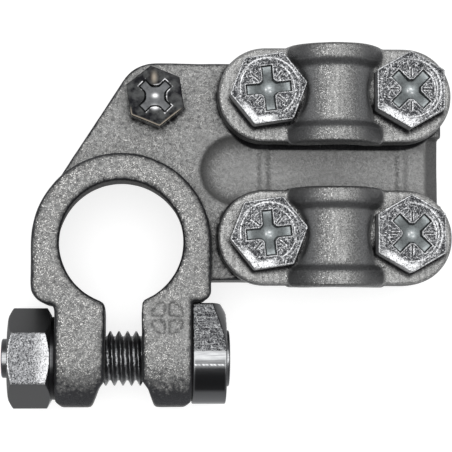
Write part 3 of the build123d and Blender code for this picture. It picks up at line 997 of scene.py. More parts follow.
@dataclass(frozen=True)
class PaintedShadowSeam:
    """A painted shadow along the outline of a saddle that lies on the body.

    Attributes:
        node: the saddle's CAD node.
        hollow: where the painted shadow also runs down, beside the seam.
        reach: how far it lies beyond the outline.
    """

    node: str
    hollow: Zone
    reach: float

    def at(self, points: Array, normals: Array) -> Array:
        """How dark the painted shadow is at each point, from 0 to 1."""
        low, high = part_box(self.node)
        centre = (low + high) / 2 / MM
        end_radius = (high.y - low.y) / 2 / MM
        half_run = (high.x - low.x) / 2 / MM - end_radius
        along = np.maximum(np.abs(points[:, 0] - centre.x) - half_run, 0.0)
        beyond = np.hypot(along, points[:, 1] - centre.y) - end_radius
        top_face = np.abs(points[:, 2] - low.z / MM) < 0.2
        place = np.maximum(top_face, self.hollow.at(points, normals))
        return (1 - smooth_step(self.reach * 0.3, self.reach * 1.3, beyond)) * place


@dataclass(frozen=True)
class PaintedShadeWall:
    """Painted shade on upright walls.

    Attributes:
        below: height under which a wall is painted dark.
        within: distance from the bore's axis within which it is painted dark.
        strength: how dark, from 0 to 1.
    """

    below: float
    within: float = 1e3
    strength: float = 0.95

    def at(self, points: Array, normals: Array) -> Array:
        """How dark each point is painted, from 0 to 1."""
        near = (points[:, 2] < self.below) & (np.hypot(points[:, 0], points[:, 1]) < self.within)
        return self.strength * near * (1 - smooth_step(0.35, 0.75, normals[:, 2]))


@dataclass(frozen=True)
class PaintedShadeSlope:
    """Painted shade on the slopes and ends of a saddle's beads.

    Attributes:
        above: height over which the slopes are painted dark.
        middle_y: the middle of the saddle.
        bead_from: how far from there the beads start.
        bead_rise: over what width the painted shade grows from there.
        strength: how dark, from 0 to 1.
    """

    above: float
    middle_y: float
    bead_from: float = 4.4
    bead_rise: float = 0.8
    strength: float = 0.62

    def at(self, points: Array, normals: Array) -> Array:
        """How dark each point is painted, from 0 to 1."""
        slope = smooth_step(0.08, 0.6, np.abs(normals[:, 1]))
        from_middle = np.abs(points[:, 1] - self.middle_y)
        on_bead = smooth_step(self.bead_from, self.bead_from + self.bead_rise, from_middle)
        ends = on_bead * smooth_step(0.02, 0.25, 1 - normals[:, 2])
        return self.strength * np.maximum(slope, ends) * (points[:, 2] > self.above)


@dataclass(frozen=True)
class HollowShade:
    """A darker patch in a hollow, fading along X from start to end.

    Attributes:
        zone: the hollow.
        start_x: where it is darkest.
        end_x: where it has faded out.
        strength: how dark, from 0 to 1.
    """

    zone: Zone
    start_x: float
    end_x: float
    strength: float = 0.12

    def at(self, points: Array, normals: Array) -> Array:
        """How dark each point is, from 0 to 1."""
        share = (points[:, 0] - self.start_x) / (self.end_x - self.start_x)
        fading = 1 - smooth_step(0.0, 1.0, share)
        return self.strength * fading * self.zone.at(points, normals)


@dataclass
class Casting:
    """A cast piece: the CAD shape with a fine even skin that can be made uneven.

    Attributes:
        node: the CAD node it stands for.
        body: the CAD body it rides on.
        voxel_mm: the skin's mesh size while it is made.
        most_triangles: how many triangles the finished skin may have.
        soften: how many passes round off its corners.
        soft_zones: where more passes round it off.
        soft_passes: how many more.
        uneven: how the skin strays.
        dents: grooves as start, end, half width and depth, in millimetres.
        shelters: on the body, the hollows and the mark, painted lighter and smoother as a painted lift of
            light; on a saddle, its hump, which takes the hump's own tones.
        grime: the painted shade and painted shadow on it.
        smoothing: how far one pass moves a point towards its neighbours.
        zone_levels: in how many levels a soft zone fades out.
        crease_deg: edges sharper than this are shaded as creases.
    """

    node: str
    body: str
    voxel_mm: float
    most_triangles: int
    soften: int
    soft_zones: tuple[Zone, ...]
    soft_passes: int
    uneven: Unevenness = Unevenness()
    dents: tuple[tuple[Vector, Vector, float, float], ...] = ()
    shelters: tuple[Zone, ...] = ()
    grime: tuple[PaintedShadowRing | PaintedShadowSeam | PaintedShadeWall | PaintedShadeSlope | HollowShade, ...] = ()
    smoothing: float = 0.5
    zone_levels: int = 20
    crease_deg: float = 40.0

    def build(self, material: Material) -> Piece:
        """Makes the piece and gives it its finish.

        Args:
            material: the finish.

        Returns:
            The new piece.
        """
        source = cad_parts[self.node]
        piece = bpy.data.objects.new(f"{self.node}.skin", source.data.copy())
        bpy.context.scene.collection.objects.link(piece)
        self.weave_skin(piece, source)
        self.roughen(piece.data)
        piece.data.polygons.foreach_set("use_smooth", np.ones(len(piece.data.polygons), bool))
        piece.data.set_sharp_from_angle(angle=math.radians(self.crease_deg))
        return finish_piece(piece, material, self.node, self.body)

    def weave_skin(self, piece: Piece, source: Piece) -> None:
        """Gives the piece an even mesh that lies on the CAD surface."""
        remesh = piece.modifiers.new("EvenMesh", "REMESH")
        remesh.mode = "VOXEL"
        remesh.voxel_size = self.voxel_mm * MM
        settle = piece.modifiers.new("OnSurface", "SHRINKWRAP")
        settle.target = source
        settle.wrap_method = "NEAREST_SURFACEPOINT"
        round_off = piece.modifiers.new("RoundOff", "SMOOTH")
        round_off.factor = self.smoothing
        round_off.iterations = self.soften
        self.apply(piece)
        if self.soft_zones:
            self.soften_zones(piece)
        count = sum(len(face.vertices) - 2 for face in piece.data.polygons)
        if count > self.most_triangles:
            thin = piece.modifiers.new("Thin", "DECIMATE")
            thin.ratio = self.most_triangles / count
            self.apply(piece)

    def soften_zones(self, piece: Piece) -> None:
        """Rounds the skin off further inside the soft zones."""
        weights = self.strongest(self.soft_zones, *self.points_and_normals(piece.data))
        group = piece.vertex_groups.new(name="Soft")
        for step in range(1, self.zone_levels + 1):
            chosen = np.flatnonzero(np.round(weights * self.zone_levels) == step)
            group.add(chosen.tolist(), step / self.zone_levels, "REPLACE")
        softer = piece.modifiers.new("Softer", "SMOOTH")
        softer.factor = self.smoothing
        softer.iterations = self.soft_passes
        softer.vertex_group = group.name
        self.apply(piece)
        piece.vertex_groups.clear()

    @staticmethod
    def strongest(kinds: tuple, points: Array, normals: Array) -> Array:
        """The greatest value that any of the zones or painted shade kinds gives at each point."""
        return np.max([kind.at(points, normals) for kind in kinds], axis=0)

    @staticmethod
    def points_and_normals(mesh: bpy.types.Mesh) -> tuple[Array, Array]:
        """The mesh's points in millimetres and their normals."""
        count = len(mesh.vertices)
        points, normals = np.empty(count * 3), np.empty(count * 3)
        mesh.vertices.foreach_get("co", points)
        mesh.vertex_normals.foreach_get("vector", normals)
        return points.reshape(-1, 3) / MM, normals.reshape(-1, 3)

    @staticmethod
    def apply(piece: Piece) -> None:
        """Turns the piece's modifiers into its mesh."""
        evaluated = piece.evaluated_get(bpy.context.evaluated_depsgraph_get())
        mesh = bpy.data.meshes.new_from_object(evaluated)
        piece.modifiers.clear()
        piece.data = mesh

    def roughen(self, mesh: bpy.types.Mesh) -> None:
        """Moves each point in along its normal by the skin's unevenness and dents."""
        points, normals = self.points_and_normals(mesh)
        depth = np.array([self.uneven.at(Vector(point)) for point in points])
        for start, end, half_width, dent_depth in self.dents:
            start, along = np.array(start), np.array(end - start)
            share = np.clip((points - start) @ along / (along @ along), 0.0, 1.0)
            away = np.linalg.norm(points - start - share[:, None] * along, axis=1) / half_width
            depth += dent_depth * np.clip(1 - away**2, 0.0, 1.0) ** 2
        for mask, kinds in ((Mask.SHELTERED, self.shelters), (Mask.GRIME, self.grime)):
            if kinds:
                values = self.strongest(kinds, points, normals).astype(np.float32)
                mesh.attributes.new(mask.value, "FLOAT", "POINT").data.foreach_set("value", values)
        points -= normals * depth[:, None]
        mesh.vertices.foreach_set("co", (points * MM).ravel())
        mesh.update()


# ---------------------------------------------------------------------------------------------
# Screws
# ---------------------------------------------------------------------------------------------
DEPTH_PER_PITCH = 0.6134
CREST_SHARE = 0.125
SLOPE_SHARE = 0.625
PIN_BEVEL = 0.15
LINE_WIDTH = 0.08
# painted shadow down the foot of a screw head's side wall: height share and darkness
FOOT_SHADE_PAINT = ((0.12, 1.0), (0.24, 0.9), (0.34, 0.15), (0.5, 0.0), (0.75, 0.0), (0.92, 0.0))


@dataclass(frozen=True)
class Thread:
    """A V thread.

    Attributes:
        diameter: over the crests.
        pitch: from crest to crest.
        points_round: points in a ring.
        rings_per_turn: rings in one pitch.
    """

    diameter: float
    pitch: float
    points_round: int = 72
    rings_per_turn: int = 10

    def radius(self, angles: Array, height: float) -> Array:
        """The thread's radius round one ring."""
        place = (height / self.pitch - angles / (2 * math.pi)) % 1.0
        away = np.abs(place - 0.5) * 2
        depth = DEPTH_PER_PITCH * self.pitch
        return self.diameter / 2 - depth * np.clip((away - CREST_SHARE) / SLOPE_SHARE, 0.0, 1.0)

    def skin(
        self, top: float, bottom: float, end_chamfer: float, pilot: tuple[float, float] | None = None
    ) -> Skin:
        """The threaded shank from top down to bottom.

        Args:
            top: where the shank starts, inside the head.
            bottom: where it ends.
            end_chamfer: how far the end tapers.
            pilot: diameter and length of a plain pin on the end, if it has one.

        Returns:
            Points, faces and masks for mesh_piece.
        """
        angles = evenly(self.points_round)
        skin = TurnedSkin(angles)
        thread_end = bottom + (pilot[1] if pilot else 0.0)
        step = self.pitch / self.rings_per_turn
        end_radius = pilot[0] / 2 if pilot else self.diameter / 2 - end_chamfer
        skin.cap(bottom)
        if pilot:
            skin.ring(end_radius - PIN_BEVEL, bottom)
            skin.ring(end_radius, bottom + PIN_BEVEL)
            skin.ring(end_radius, thread_end - 0.05)
        else:
            skin.ring(end_radius * 0.6, bottom)
        count = max(2, round((top - thread_end) / step))
        for index in range(count + 1):
            height = thread_end + (top - thread_end) * index / count
            cone = end_radius + (height - thread_end)
            skin.ring(np.minimum(self.radius(angles, height), cone), height, etched=0.6)
        skin.cap(top)
        return skin.mesh_data()


@dataclass(frozen=True)
class CrossRecess:
    """A cross-shaped driver recess.

    Attributes:
        span: from arm end to arm end.
        arm: width of an arm.
        core: diameter of the round middle.
        depth: at the middle.
        end_depth: at the arms' ends.
        corner_reach: how far the corners between the arms are rounded.
        wall: how far a wall leans over its depth.
        floor_from: the share of the wall's width that keeps the face's own colour.
        ticks: whether fine lines are scribed between the arms.
        tick_width: how wide a scribed line is, and tick_depth how deep.
        lip_width: how wide the painted highlight on the lip beside an edge is.
    """

    span: float
    arm: float
    core: float
    depth: float
    end_depth: float
    corner_reach: float
    wall: float
    floor_from: float
    ticks: bool
    tick_width: float = 0.09
    tick_depth: float = 0.14
    lip_width: float = 0.07

    def outside(self, x: Array, y: Array) -> Array:
        """Signed distance from the recess's edge, below 0 inside."""
        half, side = self.span / 2, self.arm / 2
        one = np.maximum(np.abs(x) - half, np.abs(y) - side)
        two = np.maximum(np.abs(y) - half, np.abs(x) - side)
        cross = soft_min(one, two, self.corner_reach)
        return soft_min(cross, np.hypot(x, y) - self.core / 2, self.corner_reach * 0.6)

    def sink(self, x: Array, y: Array) -> tuple[Array, Array, Array]:
        """How deep the recess is at each point.

        Args:
            x: places along one arm.
            y: places along the other arm.

        Returns:
            The depth, how far each point is recess floor, and how far it is on the recess's lip, where a
            painted highlight goes.
        """
        away = np.hypot(x, y)
        outside = self.outside(x, y)
        middle = 1 - smooth_step(0.0, self.span / 2, away)
        floor = self.end_depth + (self.depth - self.end_depth) * middle
        inside = smooth_step(0.0, self.wall, -outside)
        depth = floor * inside
        lip = ridge(outside - 0.02, self.lip_width)
        if self.ticks:
            across = np.abs(np.abs(x) - np.abs(y)) / math.sqrt(2)
            reach = smooth_step(1.75, 1.95, away) * (1 - smooth_step(2.9, 3.1, away))
            groove = ridge(across, self.tick_width) * reach
            depth = depth + self.tick_depth * groove
            # painted highlights beside the scribed lines
            lip = np.maximum(lip, 1.4 * ridge(across - 0.15, self.lip_width) * reach)
        start = self.wall * self.floor_from
        return depth, smooth_step(start, start + self.wall * 0.5, -outside), lip


@dataclass
class CrossHeadScrew:
    """A hexagon screw with a cross recess.

    Attributes:
        node: the CAD node it stands for.
        body: the CAD body it rides on.
        across_flats: of the head.
        head_height: of the head.
        corner_deg: the angle of one hexagon corner.
        arm_deg: the angle of one arm of the recess.
        recess: the recess.
        thread: the thread.
        slot: the record's material slot; not used.
        painted_highlight_sector: middle angle in degrees and half width of a painted highlight on the rim.
        edge_strength: how strong the painted highlight along the hexagon's edge is.
        lip_strength: how strong the painted highlight on the recess's lip is.
        glints: painted highlight spots as x, y, half width and half height.
        arcs: painted highlight arcs as radius, middle angle and half reach in degrees.
        rays: the directions in degrees of painted highlight lines beside the scribed lines.
        painted_reflection: x, y and half width of a painted brown reflection, on the glossy screw only.
        chamfer_deg: slope of the cone that turns off the corners.
        face_inset: how far inside the flats that cone starts.
        edge_round: radius of the top edge.
        foot_bevel: bevel at the underside.
        points_round: points in a ring.
        top_rings: rings over the top.
        corner_power: how sharp the hexagon's corners are.
    """

    node: str
    body: str
    across_flats: float
    head_height: float
    corner_deg: float
    arm_deg: float
    recess: CrossRecess
    thread: Thread
    slot: Slot
    painted_highlight_sector: tuple[float, float] = (248.0, 44.0)
    edge_strength: float = 0.75
    lip_strength: float = 0.6
    glints: tuple[tuple[float, float, float, float], ...] = ()
    arcs: tuple[tuple[float, float, float], ...] = ()
    rays: tuple[float, ...] = ()
    painted_reflection: tuple[float, float, float] | None = None
    chamfer_deg: float = 9.0
    face_inset: float = 0.15
    edge_round: float = 0.09
    foot_bevel: float = 0.3
    points_round: int = 264
    top_rings: int = 64
    corner_power: float = HEAD_CORNER_POWER

    def rim(self, angles: Array) -> Array:
        """The hexagon's radius at each angle, its corners slightly rounded."""
        return hexagon(angles, self.across_flats, self.corner_deg, self.corner_power)

    def top(self, radius: Array, angles: Array, rim: Array) -> tuple[Array, Array, Array]:
        """Height of the head's top with its masks.

        Args:
            radius: distance of each point from the axis.
            angles: its angle.
            rim: the hexagon's radius at that angle.

        Returns:
            Height over the head's underside, recess mask and painted highlight mask.
        """
        turn = math.radians(self.arm_deg)
        x = radius * np.cos(angles - turn)
        y = radius * np.sin(angles - turn)
        sink, floor, lip = self.recess.sink(x, y)
        face_radius = self.across_flats / 2 - self.face_inset
        chamfer = np.maximum(radius - face_radius, 0.0) * math.tan(math.radians(self.chamfer_deg))
        near_rim = np.clip(1 - (rim - radius) / self.edge_round, 0.0, 1.0)
        rounding = self.edge_round * (1 - np.sqrt(1 - near_rim**2 * 0.98))
        height = self.head_height - sink - chamfer - rounding
        middle, half_width = self.painted_highlight_sector
        turned = degrees_from(angles, middle)
        # painted highlights: a rim sector, a line along the edge, a ring line and the recess lip
        sector = 1 - smooth_step(half_width * 0.5, half_width, turned) if half_width else 0.0 * angles
        share = radius / rim
        band = smooth_step(0.74, 0.84, share) * (1 - smooth_step(0.95, 0.99, share))
        edge_line = ridge(rim - radius - 0.12, 0.07)
        painted_ring_line = ridge(radius - face_radius * 0.93, 0.06) * (self.painted_reflection is None)
        bright = np.maximum(0.8 * sector * band, self.edge_strength * edge_line)
        bright = np.maximum(np.maximum(bright, 0.3 * painted_ring_line), self.lip_strength * lip) * (1 - floor)
        return height, floor, bright

    def polished(self, radius: Array, angles: Array) -> Array:
        """How far each point lies in a painted highlight: a spot, an arc or a line beside a scribed line.
        """
        total = np.zeros_like(angles)
        for spot_x, spot_y, wide, tall in self.glints:
            across = (radius * np.cos(angles) - spot_x) / wide
            along = (radius * np.sin(angles) - spot_y) / tall
            total = np.maximum(total, np.exp(-(across**2) - along**2))
        for line_radius, middle, half_reach in self.arcs:
            ends = 1 - smooth_step(0.6, 1.0, degrees_from(angles, middle) / half_reach)
            line = ridge(radius - line_radius, LINE_WIDTH) * ends
            total = np.maximum(total, line)
        for direction in self.rays:
            turned = angles - math.radians(direction)
            along, across = radius * np.cos(turned), radius * np.sin(turned)
            line = ridge(across - 0.17, LINE_WIDTH) * smooth_step(1.7, 1.9, along)
            line = line * (1 - smooth_step(3.0, 3.3, along))
            total = np.maximum(total, line)
        return total

    def build(self, material: Material) -> Piece:
        """Makes the screw and gives it its finish.

        Args:
            material: the finish.

        Returns:
            The new piece.
        """
        low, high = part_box(self.node)
        centre = (low + high) / 2 / MM
        underside = high.z / MM - self.head_height
        angles = evenly(self.points_round)
        rim = self.rim(angles)
        skin = TurnedSkin(angles)
        skin.cap(0.0)
        skin.ring(self.thread.diameter / 2 - 0.2, 0.0)
        # painted shadow at the foot of the head
        skin.ring(rim - self.foot_bevel, 0.0, grime=1.0)
        skin.ring(rim, self.foot_bevel, grime=1.0)
        edge_height, _, _ = self.top(rim, angles, rim)
        for share, shade_share in FOOT_SHADE_PAINT:
            skin.ring(rim, self.foot_bevel + (edge_height - self.foot_bevel) * share, grime=shade_share)
        for index in range(self.top_rings, 0, -1):
            radius = rim * (index / self.top_rings)
            height, floor, bright = self.top(radius, angles, rim)
            skin.ring(
                radius,
                height,
                recess=floor,
                bright=bright,
                etched=self.etched(radius, angles, floor),
                polished=self.polished(radius, angles),
            )
        skin.cap(self.head_height - self.recess.depth)
        shank = self.thread.skin(0.3, low.z / MM - underside, 0.8)
        place = Place((centre.x, centre.y, underside))
        piece = mesh_piece(f"{self.node}.detail", [skin.mesh_data(), shank], place)
        return finish_piece(piece, material, self.node, self.body)

    def etched(self, radius: Array, angles: Array, floor: Array) -> Array:
        """Where the top carries its etch; on the glossy screw, where its painted brown reflection and a
        painted highlight along its lower edges lie.
        """
        if self.painted_reflection is None:
            return 1 - floor
        x, y, reach = self.painted_reflection
        away = np.hypot(radius * np.cos(angles) - x, (radius * np.sin(angles) - y) * 0.5)
        lower = smooth_step(0.35, 0.6, -np.sin(angles))
        edge_line = ridge(self.rim(angles) - radius - 0.16, 0.09) * lower
        return np.maximum(ridge(away, reach) * 0.9, 0.8 * edge_line)


# ---------------------------------------------------------------------------------------------
# Pinch bolt and nut
# ---------------------------------------------------------------------------------------------
ROUND_STEPS_DEG = (0.0, 30.0, 60.0, 90.0)


@dataclass
class PinchBolt:
    """The bolt along X with its U-shaped head.

    Attributes:
        node: the CAD node it stands for.
        body: the CAD body it rides on.
        head_radius: of the head's round part.
        nose: from the bolt's axis to the head's square end.
        head_thickness: without the disc on its face.
        disc_radius: of that disc, with disc_height.
        pilot: diameter and length of the plain pin at the end.
        chamfer_deg: slope of the cone that turns off the square end.
        edge_round: radius of the head's edges.
        etched_from: how far towards the ring the etched part starts.
        points_round: points in a ring.
        thread: the thread.
    """

    node: str = "pinch_bolt"
    body: str = "bolt"
    head_radius: float = 6.65
    nose: float = 7.95
    head_thickness: float = 4.9
    disc_radius: float = 4.1
    disc_height: float = 0.55
    pilot: tuple[float, float] = (5.7, 1.1)
    chamfer_deg: float = 30.0
    edge_round: float = 0.18
    etched_from: float = 1.15
    points_round: int = 320
    thread: Thread = Thread(8.0, 1.25, points_round=96, rings_per_turn=14)

    def profile(self, angles: Array) -> Array:
        """The U: half-round below the bolt axis, square towards the ring."""
        forward = np.maximum(np.cos(angles), 0.0) / self.nose
        aside = np.abs(np.sin(angles)) / self.head_radius
        square = 1 / (forward**40 + aside**40 + 1e-60) ** (1 / 40)
        return np.where(np.cos(angles) > 0, square, self.head_radius)

    def face_height(self, radius: Array) -> Array:
        """Height of the outer face, turned off by a cone beyond the round part."""
        slope = math.tan(math.radians(self.chamfer_deg))
        return self.head_thickness - np.maximum(radius - self.head_radius, 0.0) * slope

    def build(self, material: Material) -> Piece:
        """Makes the bolt and gives it its finish.

        Args:
            material: the finish.

        Returns:
            The new piece.
        """
        low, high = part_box(self.node)
        axis_z = (low.z + high.z) / 2 / MM
        axis_y = high.y / MM - self.nose
        head_x = high.x / MM - self.head_thickness - self.disc_height
        angles = evenly(self.points_round)
        rim = self.profile(angles)
        etched = smooth_step(self.etched_from - 0.25, self.etched_from + 0.1, rim * np.cos(angles))
        turned = np.degrees(angles)
        # painted reflection: a dark band on the head's round side
        painted_dark_band = smooth_step(90.5, 93.0, turned) * (1 - smooth_step(131.0, 138.0, turned))
        painted_dark_band *= 0.62 + 0.25 * smooth_step(99.0, 103.0, turned)
        # painted highlight: a thin light line near the top of the round side
        painted_highlight_line = ridge(turned - 97.8, 0.8)
        skin = TurnedSkin(angles)
        skin.cap(0.0)
        skin.ring(self.thread.diameter / 2 - 0.5, 0.0)
        for share in (0.3, 0.6, 0.85):
            skin.ring(rim * share + 3.5 * (1 - share), 0.0)
        for turn in ROUND_STEPS_DEG:
            inset = self.edge_round * (1 - math.sin(math.radians(turn)))
            lift = self.edge_round * (1 - math.cos(math.radians(turn)))
            skin.ring(rim - inset, lift, etched=etched)
        edge = self.face_height(rim)
        for share in np.linspace(0.04, 0.96, 16):
            # the painted highlight line breaks along the side; the painted dark band fills the rest
            line = painted_highlight_line * np.clip(0.5 + math.sin(37.0 * share) * math.cos(13.0 * share), 0.0, 1.0)
            height = self.edge_round + (edge - 2 * self.edge_round) * share
            skin.ring(rim, height, etched=etched, bright=line, grime=painted_dark_band * (1 - line))
        for turn in ROUND_STEPS_DEG:
            inset = self.edge_round * (1 - math.cos(math.radians(turn)))
            drop = self.edge_round * (1 - math.sin(math.radians(turn)))
            skin.ring(rim - inset, self.face_height(rim - inset) - drop, etched=etched * (turn < 45))
        for share in np.linspace(0.95, 0.0, 10):
            radius = self.disc_radius + (rim - self.edge_round - self.disc_radius) * share
            skin.ring(radius, self.face_height(radius))
        top = self.head_thickness + self.disc_height
        skin.ring(self.disc_radius, top - 0.2)
        skin.ring(self.disc_radius - 0.06, top - 0.06)
        skin.ring(self.disc_radius - 0.2, top)
        skin.ring(self.disc_radius * 0.5, top)
        skin.cap(top)
        shank = self.thread.skin(0.4, low.x / MM - head_x, 1.15, self.pilot)
        place = Place((head_x, axis_y, axis_z), Lie.ALONG_X)
        piece = mesh_piece(f"{self.node}.detail", [skin.mesh_data(), shank], place)
        return finish_piece(piece, material, self.node, self.body)


@dataclass
class PinchNut:
    """The hexagon nut against the left lug.

    Attributes:
        node: the CAD node it stands for.
        body: the CAD body it rides on.
        across_flats: its size.
        chamfer_deg: slope of its chamfers.
        face_inset: how far inside the flats they start.
        bore_radius: of the threaded hole.
        mouth_sink: how wide and deep the hole's mouth is bevelled.
        collar: height of the round collar towards the lug.
        points_round: points in a ring.
        corner_power: how sharp the hexagon's corners are.
    """

    node: str = "pinch_nut"
    body: str = "nut"
    across_flats: float = 12.75
    chamfer_deg: float = 30.0
    face_inset: float = 0.15
    bore_radius: float = 4.05
    mouth_sink: float = 0.5
    collar: float = 0.5
    points_round: int = 288
    corner_power: float = 90.0

    def build(self, material: Material) -> Piece:
        """Makes the nut and gives it its finish.

        Args:
            material: the finish.

        Returns:
            The new piece.
        """
        low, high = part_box(self.node)
        centre = (low + high) / 2 / MM
        thickness = (high.x - low.x) / MM
        angles = evenly(self.points_round)
        outline = hexagon(angles, self.across_flats, 0.0, self.corner_power)
        face_radius = self.across_flats / 2 - self.face_inset
        per_mm = 1 / math.tan(math.radians(self.chamfer_deg))
        on_top = np.abs(np.sin(angles)) * outline > self.across_flats / 2 * 0.985
        skin = TurnedSkin(angles)
        skin.ring(self.bore_radius + self.mouth_sink, 0.0)
        skin.ring(face_radius - 0.15, 0.0)
        body_end = thickness - self.collar
        for height in self.heights(body_end):
            cone = face_radius + per_mm * min(height, body_end - height)
            radius = np.minimum(outline, cone)
            flat = on_top * (outline <= cone)
            # painted highlights: a line along each top flat's edge and a light strip at its end towards
            # the lug
            edge = ridge(cone - outline - 0.12, 0.14) * on_top
            right_hand = smooth_step(0.55, 0.95, np.full_like(angles, height / body_end))
            bright = np.maximum(edge * 0.8, 0.7 * right_hand * flat)
            skin.ring(radius, height, etched=flat, bright=bright)
        # painted shade on the collar beside the lug
        for height, shade_share in ((body_end, 0.4), (body_end + 0.02, 0.75), (thickness, 0.95)):
            skin.ring(face_radius - 0.2, height, grime=shade_share)
        skin.ring(self.bore_radius + self.mouth_sink, thickness)
        skin.ring(self.bore_radius, thickness - self.mouth_sink)
        skin.ring(self.bore_radius, self.mouth_sink)
        place = Place((low.x / MM, centre.y, centre.z), Lie.ALONG_X)
        piece = mesh_piece(f"{self.node}.detail", [skin.mesh_data(loop=True)], place)
        return finish_piece(piece, material, self.node, self.body)

    @staticmethod
    def heights(thickness: float) -> list[float]:
        """Places of the rings along the nut, closer at both chamfers."""
        close = [0.0, 0.03, 0.07, 0.12, 0.18, 0.26, 0.34, 0.42, 0.5, 0.58, 0.68, 0.8, 1.0]
        middle = list(np.linspace(1.3, thickness - 1.3, 14))
        return close + middle + [thickness - height for height in reversed(close)]


# ---------------------------------------------------------------------------------------------
# Studio
# ---------------------------------------------------------------------------------------------
SENSOR_MM = 36.0
NEAREST_M = 0.01
LAMP_HEIGHT_M = 0.5
FLOOR_GAP_M = 0.0002


@dataclass(frozen=True)
class Studio:
    """Camera, light and floor.

    Attributes:
        camera_mm: where the camera is.
        look_at_mm: the point in the middle of the picture.
        lens: focal length on a 36 mm sensor.
        sky: brightness of the even surroundings.
        lamp: brightness of the wide soft light overhead.
        lamp_width_deg: how wide that light looks from the object.
        lamp_lean_deg: how far it leans along X and Y.
        floor_half_width: of the floor, in metres.
        floor_colour: of the floor.
        floor_glow: how bright the floor looks to the camera.
    """

    camera_mm: tuple[float, float, float] = (2.014, -15.37, 260.0)
    look_at_mm: tuple[float, float, float] = (15.34, 2.831, 7.2)
    lens: float = 137.2
    sky: float = 0.34
    lamp: float = 2.25
    lamp_width_deg: float = 64.0
    lamp_lean_deg: tuple[float, float] = (-6.0, 0.0)
    floor_half_width: float = 4.0
    floor_colour: Colour = (0.42, 0.42, 0.42)
    floor_glow: float = 0.74

    def build(self) -> None:
        """Sets up everything that isn't the object."""
        self.place_camera()
        self.hang_lamp()
        self.paint_sky()
        self.lay_floor()
        bpy.context.scene.view_settings.view_transform = "Standard"

    def place_camera(self) -> None:
        """The camera, looking down with +Y upwards in the picture."""
        data = bpy.data.cameras.new("Camera")
        data.lens = self.lens
        data.sensor_width = SENSOR_MM
        data.clip_start = NEAREST_M
        camera = bpy.data.objects.new("Camera", data)
        spot = Vector(self.camera_mm) * MM
        ahead = (Vector(self.look_at_mm) * MM - spot).normalized()
        right = ahead.cross(Vector((0, 1, 0))).normalized()
        up = right.cross(ahead)
        turn = Matrix((right, up, -ahead)).transposed().to_4x4()
        camera.matrix_world = Matrix.Translation(spot) @ turn
        bpy.context.scene.collection.objects.link(camera)
        bpy.context.scene.camera = camera

    def hang_lamp(self) -> None:
        """One wide soft light overhead."""
        data = bpy.data.lights.new("Softbox", "SUN")
        data.energy = self.lamp
        data.angle = math.radians(self.lamp_width_deg)
        lamp = bpy.data.objects.new("Softbox", data)
        lean_x, lean_y = (math.radians(value) for value in self.lamp_lean_deg)
        lamp.rotation_euler = (lean_x, lean_y, 0.0)
        lamp.location = (0.0, 0.0, LAMP_HEIGHT_M)
        bpy.context.scene.collection.objects.link(lamp)

    def paint_sky(self) -> None:
        """Even pale surroundings."""
        world = bpy.data.worlds.new("Surroundings")
        world.use_nodes = True
        back = world.node_tree.nodes["Background"]
        back.inputs["Color"].default_value = (1.0, 1.0, 1.0, 1.0)
        back.inputs["Strength"].default_value = self.sky
        bpy.context.scene.world = world

    def lay_floor(self) -> None:
        """A plain pale floor that stays white to the camera and keeps the shadow."""
        bm = bmesh.new()
        bmesh.ops.create_grid(bm, x_segments=8, y_segments=8, size=self.floor_half_width)
        mesh = bpy.data.meshes.new("Floor")
        bm.to_mesh(mesh)
        bm.free()
        floor = bpy.data.objects.new("Floor", mesh)
        floor.location = (0.0, 0.0, -FLOOR_GAP_M)
        bpy.context.scene.collection.objects.link(floor)
        material, graph, shader = new_material("PaleFloor")
        path = graph.add("ShaderNodeLightPath").outputs
        seen = graph.maths("MAXIMUM", path["Is Camera Ray"], path["Is Glossy Ray"])
        seen = graph.maths("MAXIMUM", seen, path["Is Transmission Ray"])
        settings = {
            "Base Color": (*self.floor_colour, 1.0),
            "Roughness": 0.9,
            "Specular IOR Level": 0.1,
            "Emission Color": (1.0, 1.0, 1.0, 1.0),
            "Emission Strength": graph.times(seen, self.floor_glow),
        }
        graph.plug(shader, settings)
        mesh.materials.append(material)


# ---------------------------------------------------------------------------------------------
# Everything together
# ---------------------------------------------------------------------------------------------
SADDLE_FLATS, SADDLE_HEAD = 9.8, 4.0
SMALL_FLATS, SMALL_HEAD, SMALL_CORNER = 7.8, 3.5, 38.5
SADDLE_RECESS = CrossRecess(6.6, 1.62, 2.85, 1.25, 0.42, 0.35, 0.2, 0.7, True)
SMALL_RECESS = CrossRecess(5.5, 1.5, 2.7, 0.5, 0.2, 1.1, 0.25, 0.1, False)
COLUMNS = (("left", 9.0), ("right", 30.0))
ARM_TURNS = {"left": 6.0, "right": 45.0}
# painted highlights on the saddle screw heads: lines beside the scribed lines, and arcs
RAYS = {"left": (141.0, -39.0), "right": (90.0, -90.0)}
PAINTED_HIGHLIGHT_ARCS = {
    "left": ((4.35, 85.0, 75.0), (3.65, 30.0, 40.0), (3.9, -35.0, 30.0), (4.1, 165.0, 35.0)),
    "right": ((4.3, 20.0, 85.0), (3.8, -5.0, 60.0), (3.45, 15.0, 35.0), (4.05, -75.0, 30.0)),
}


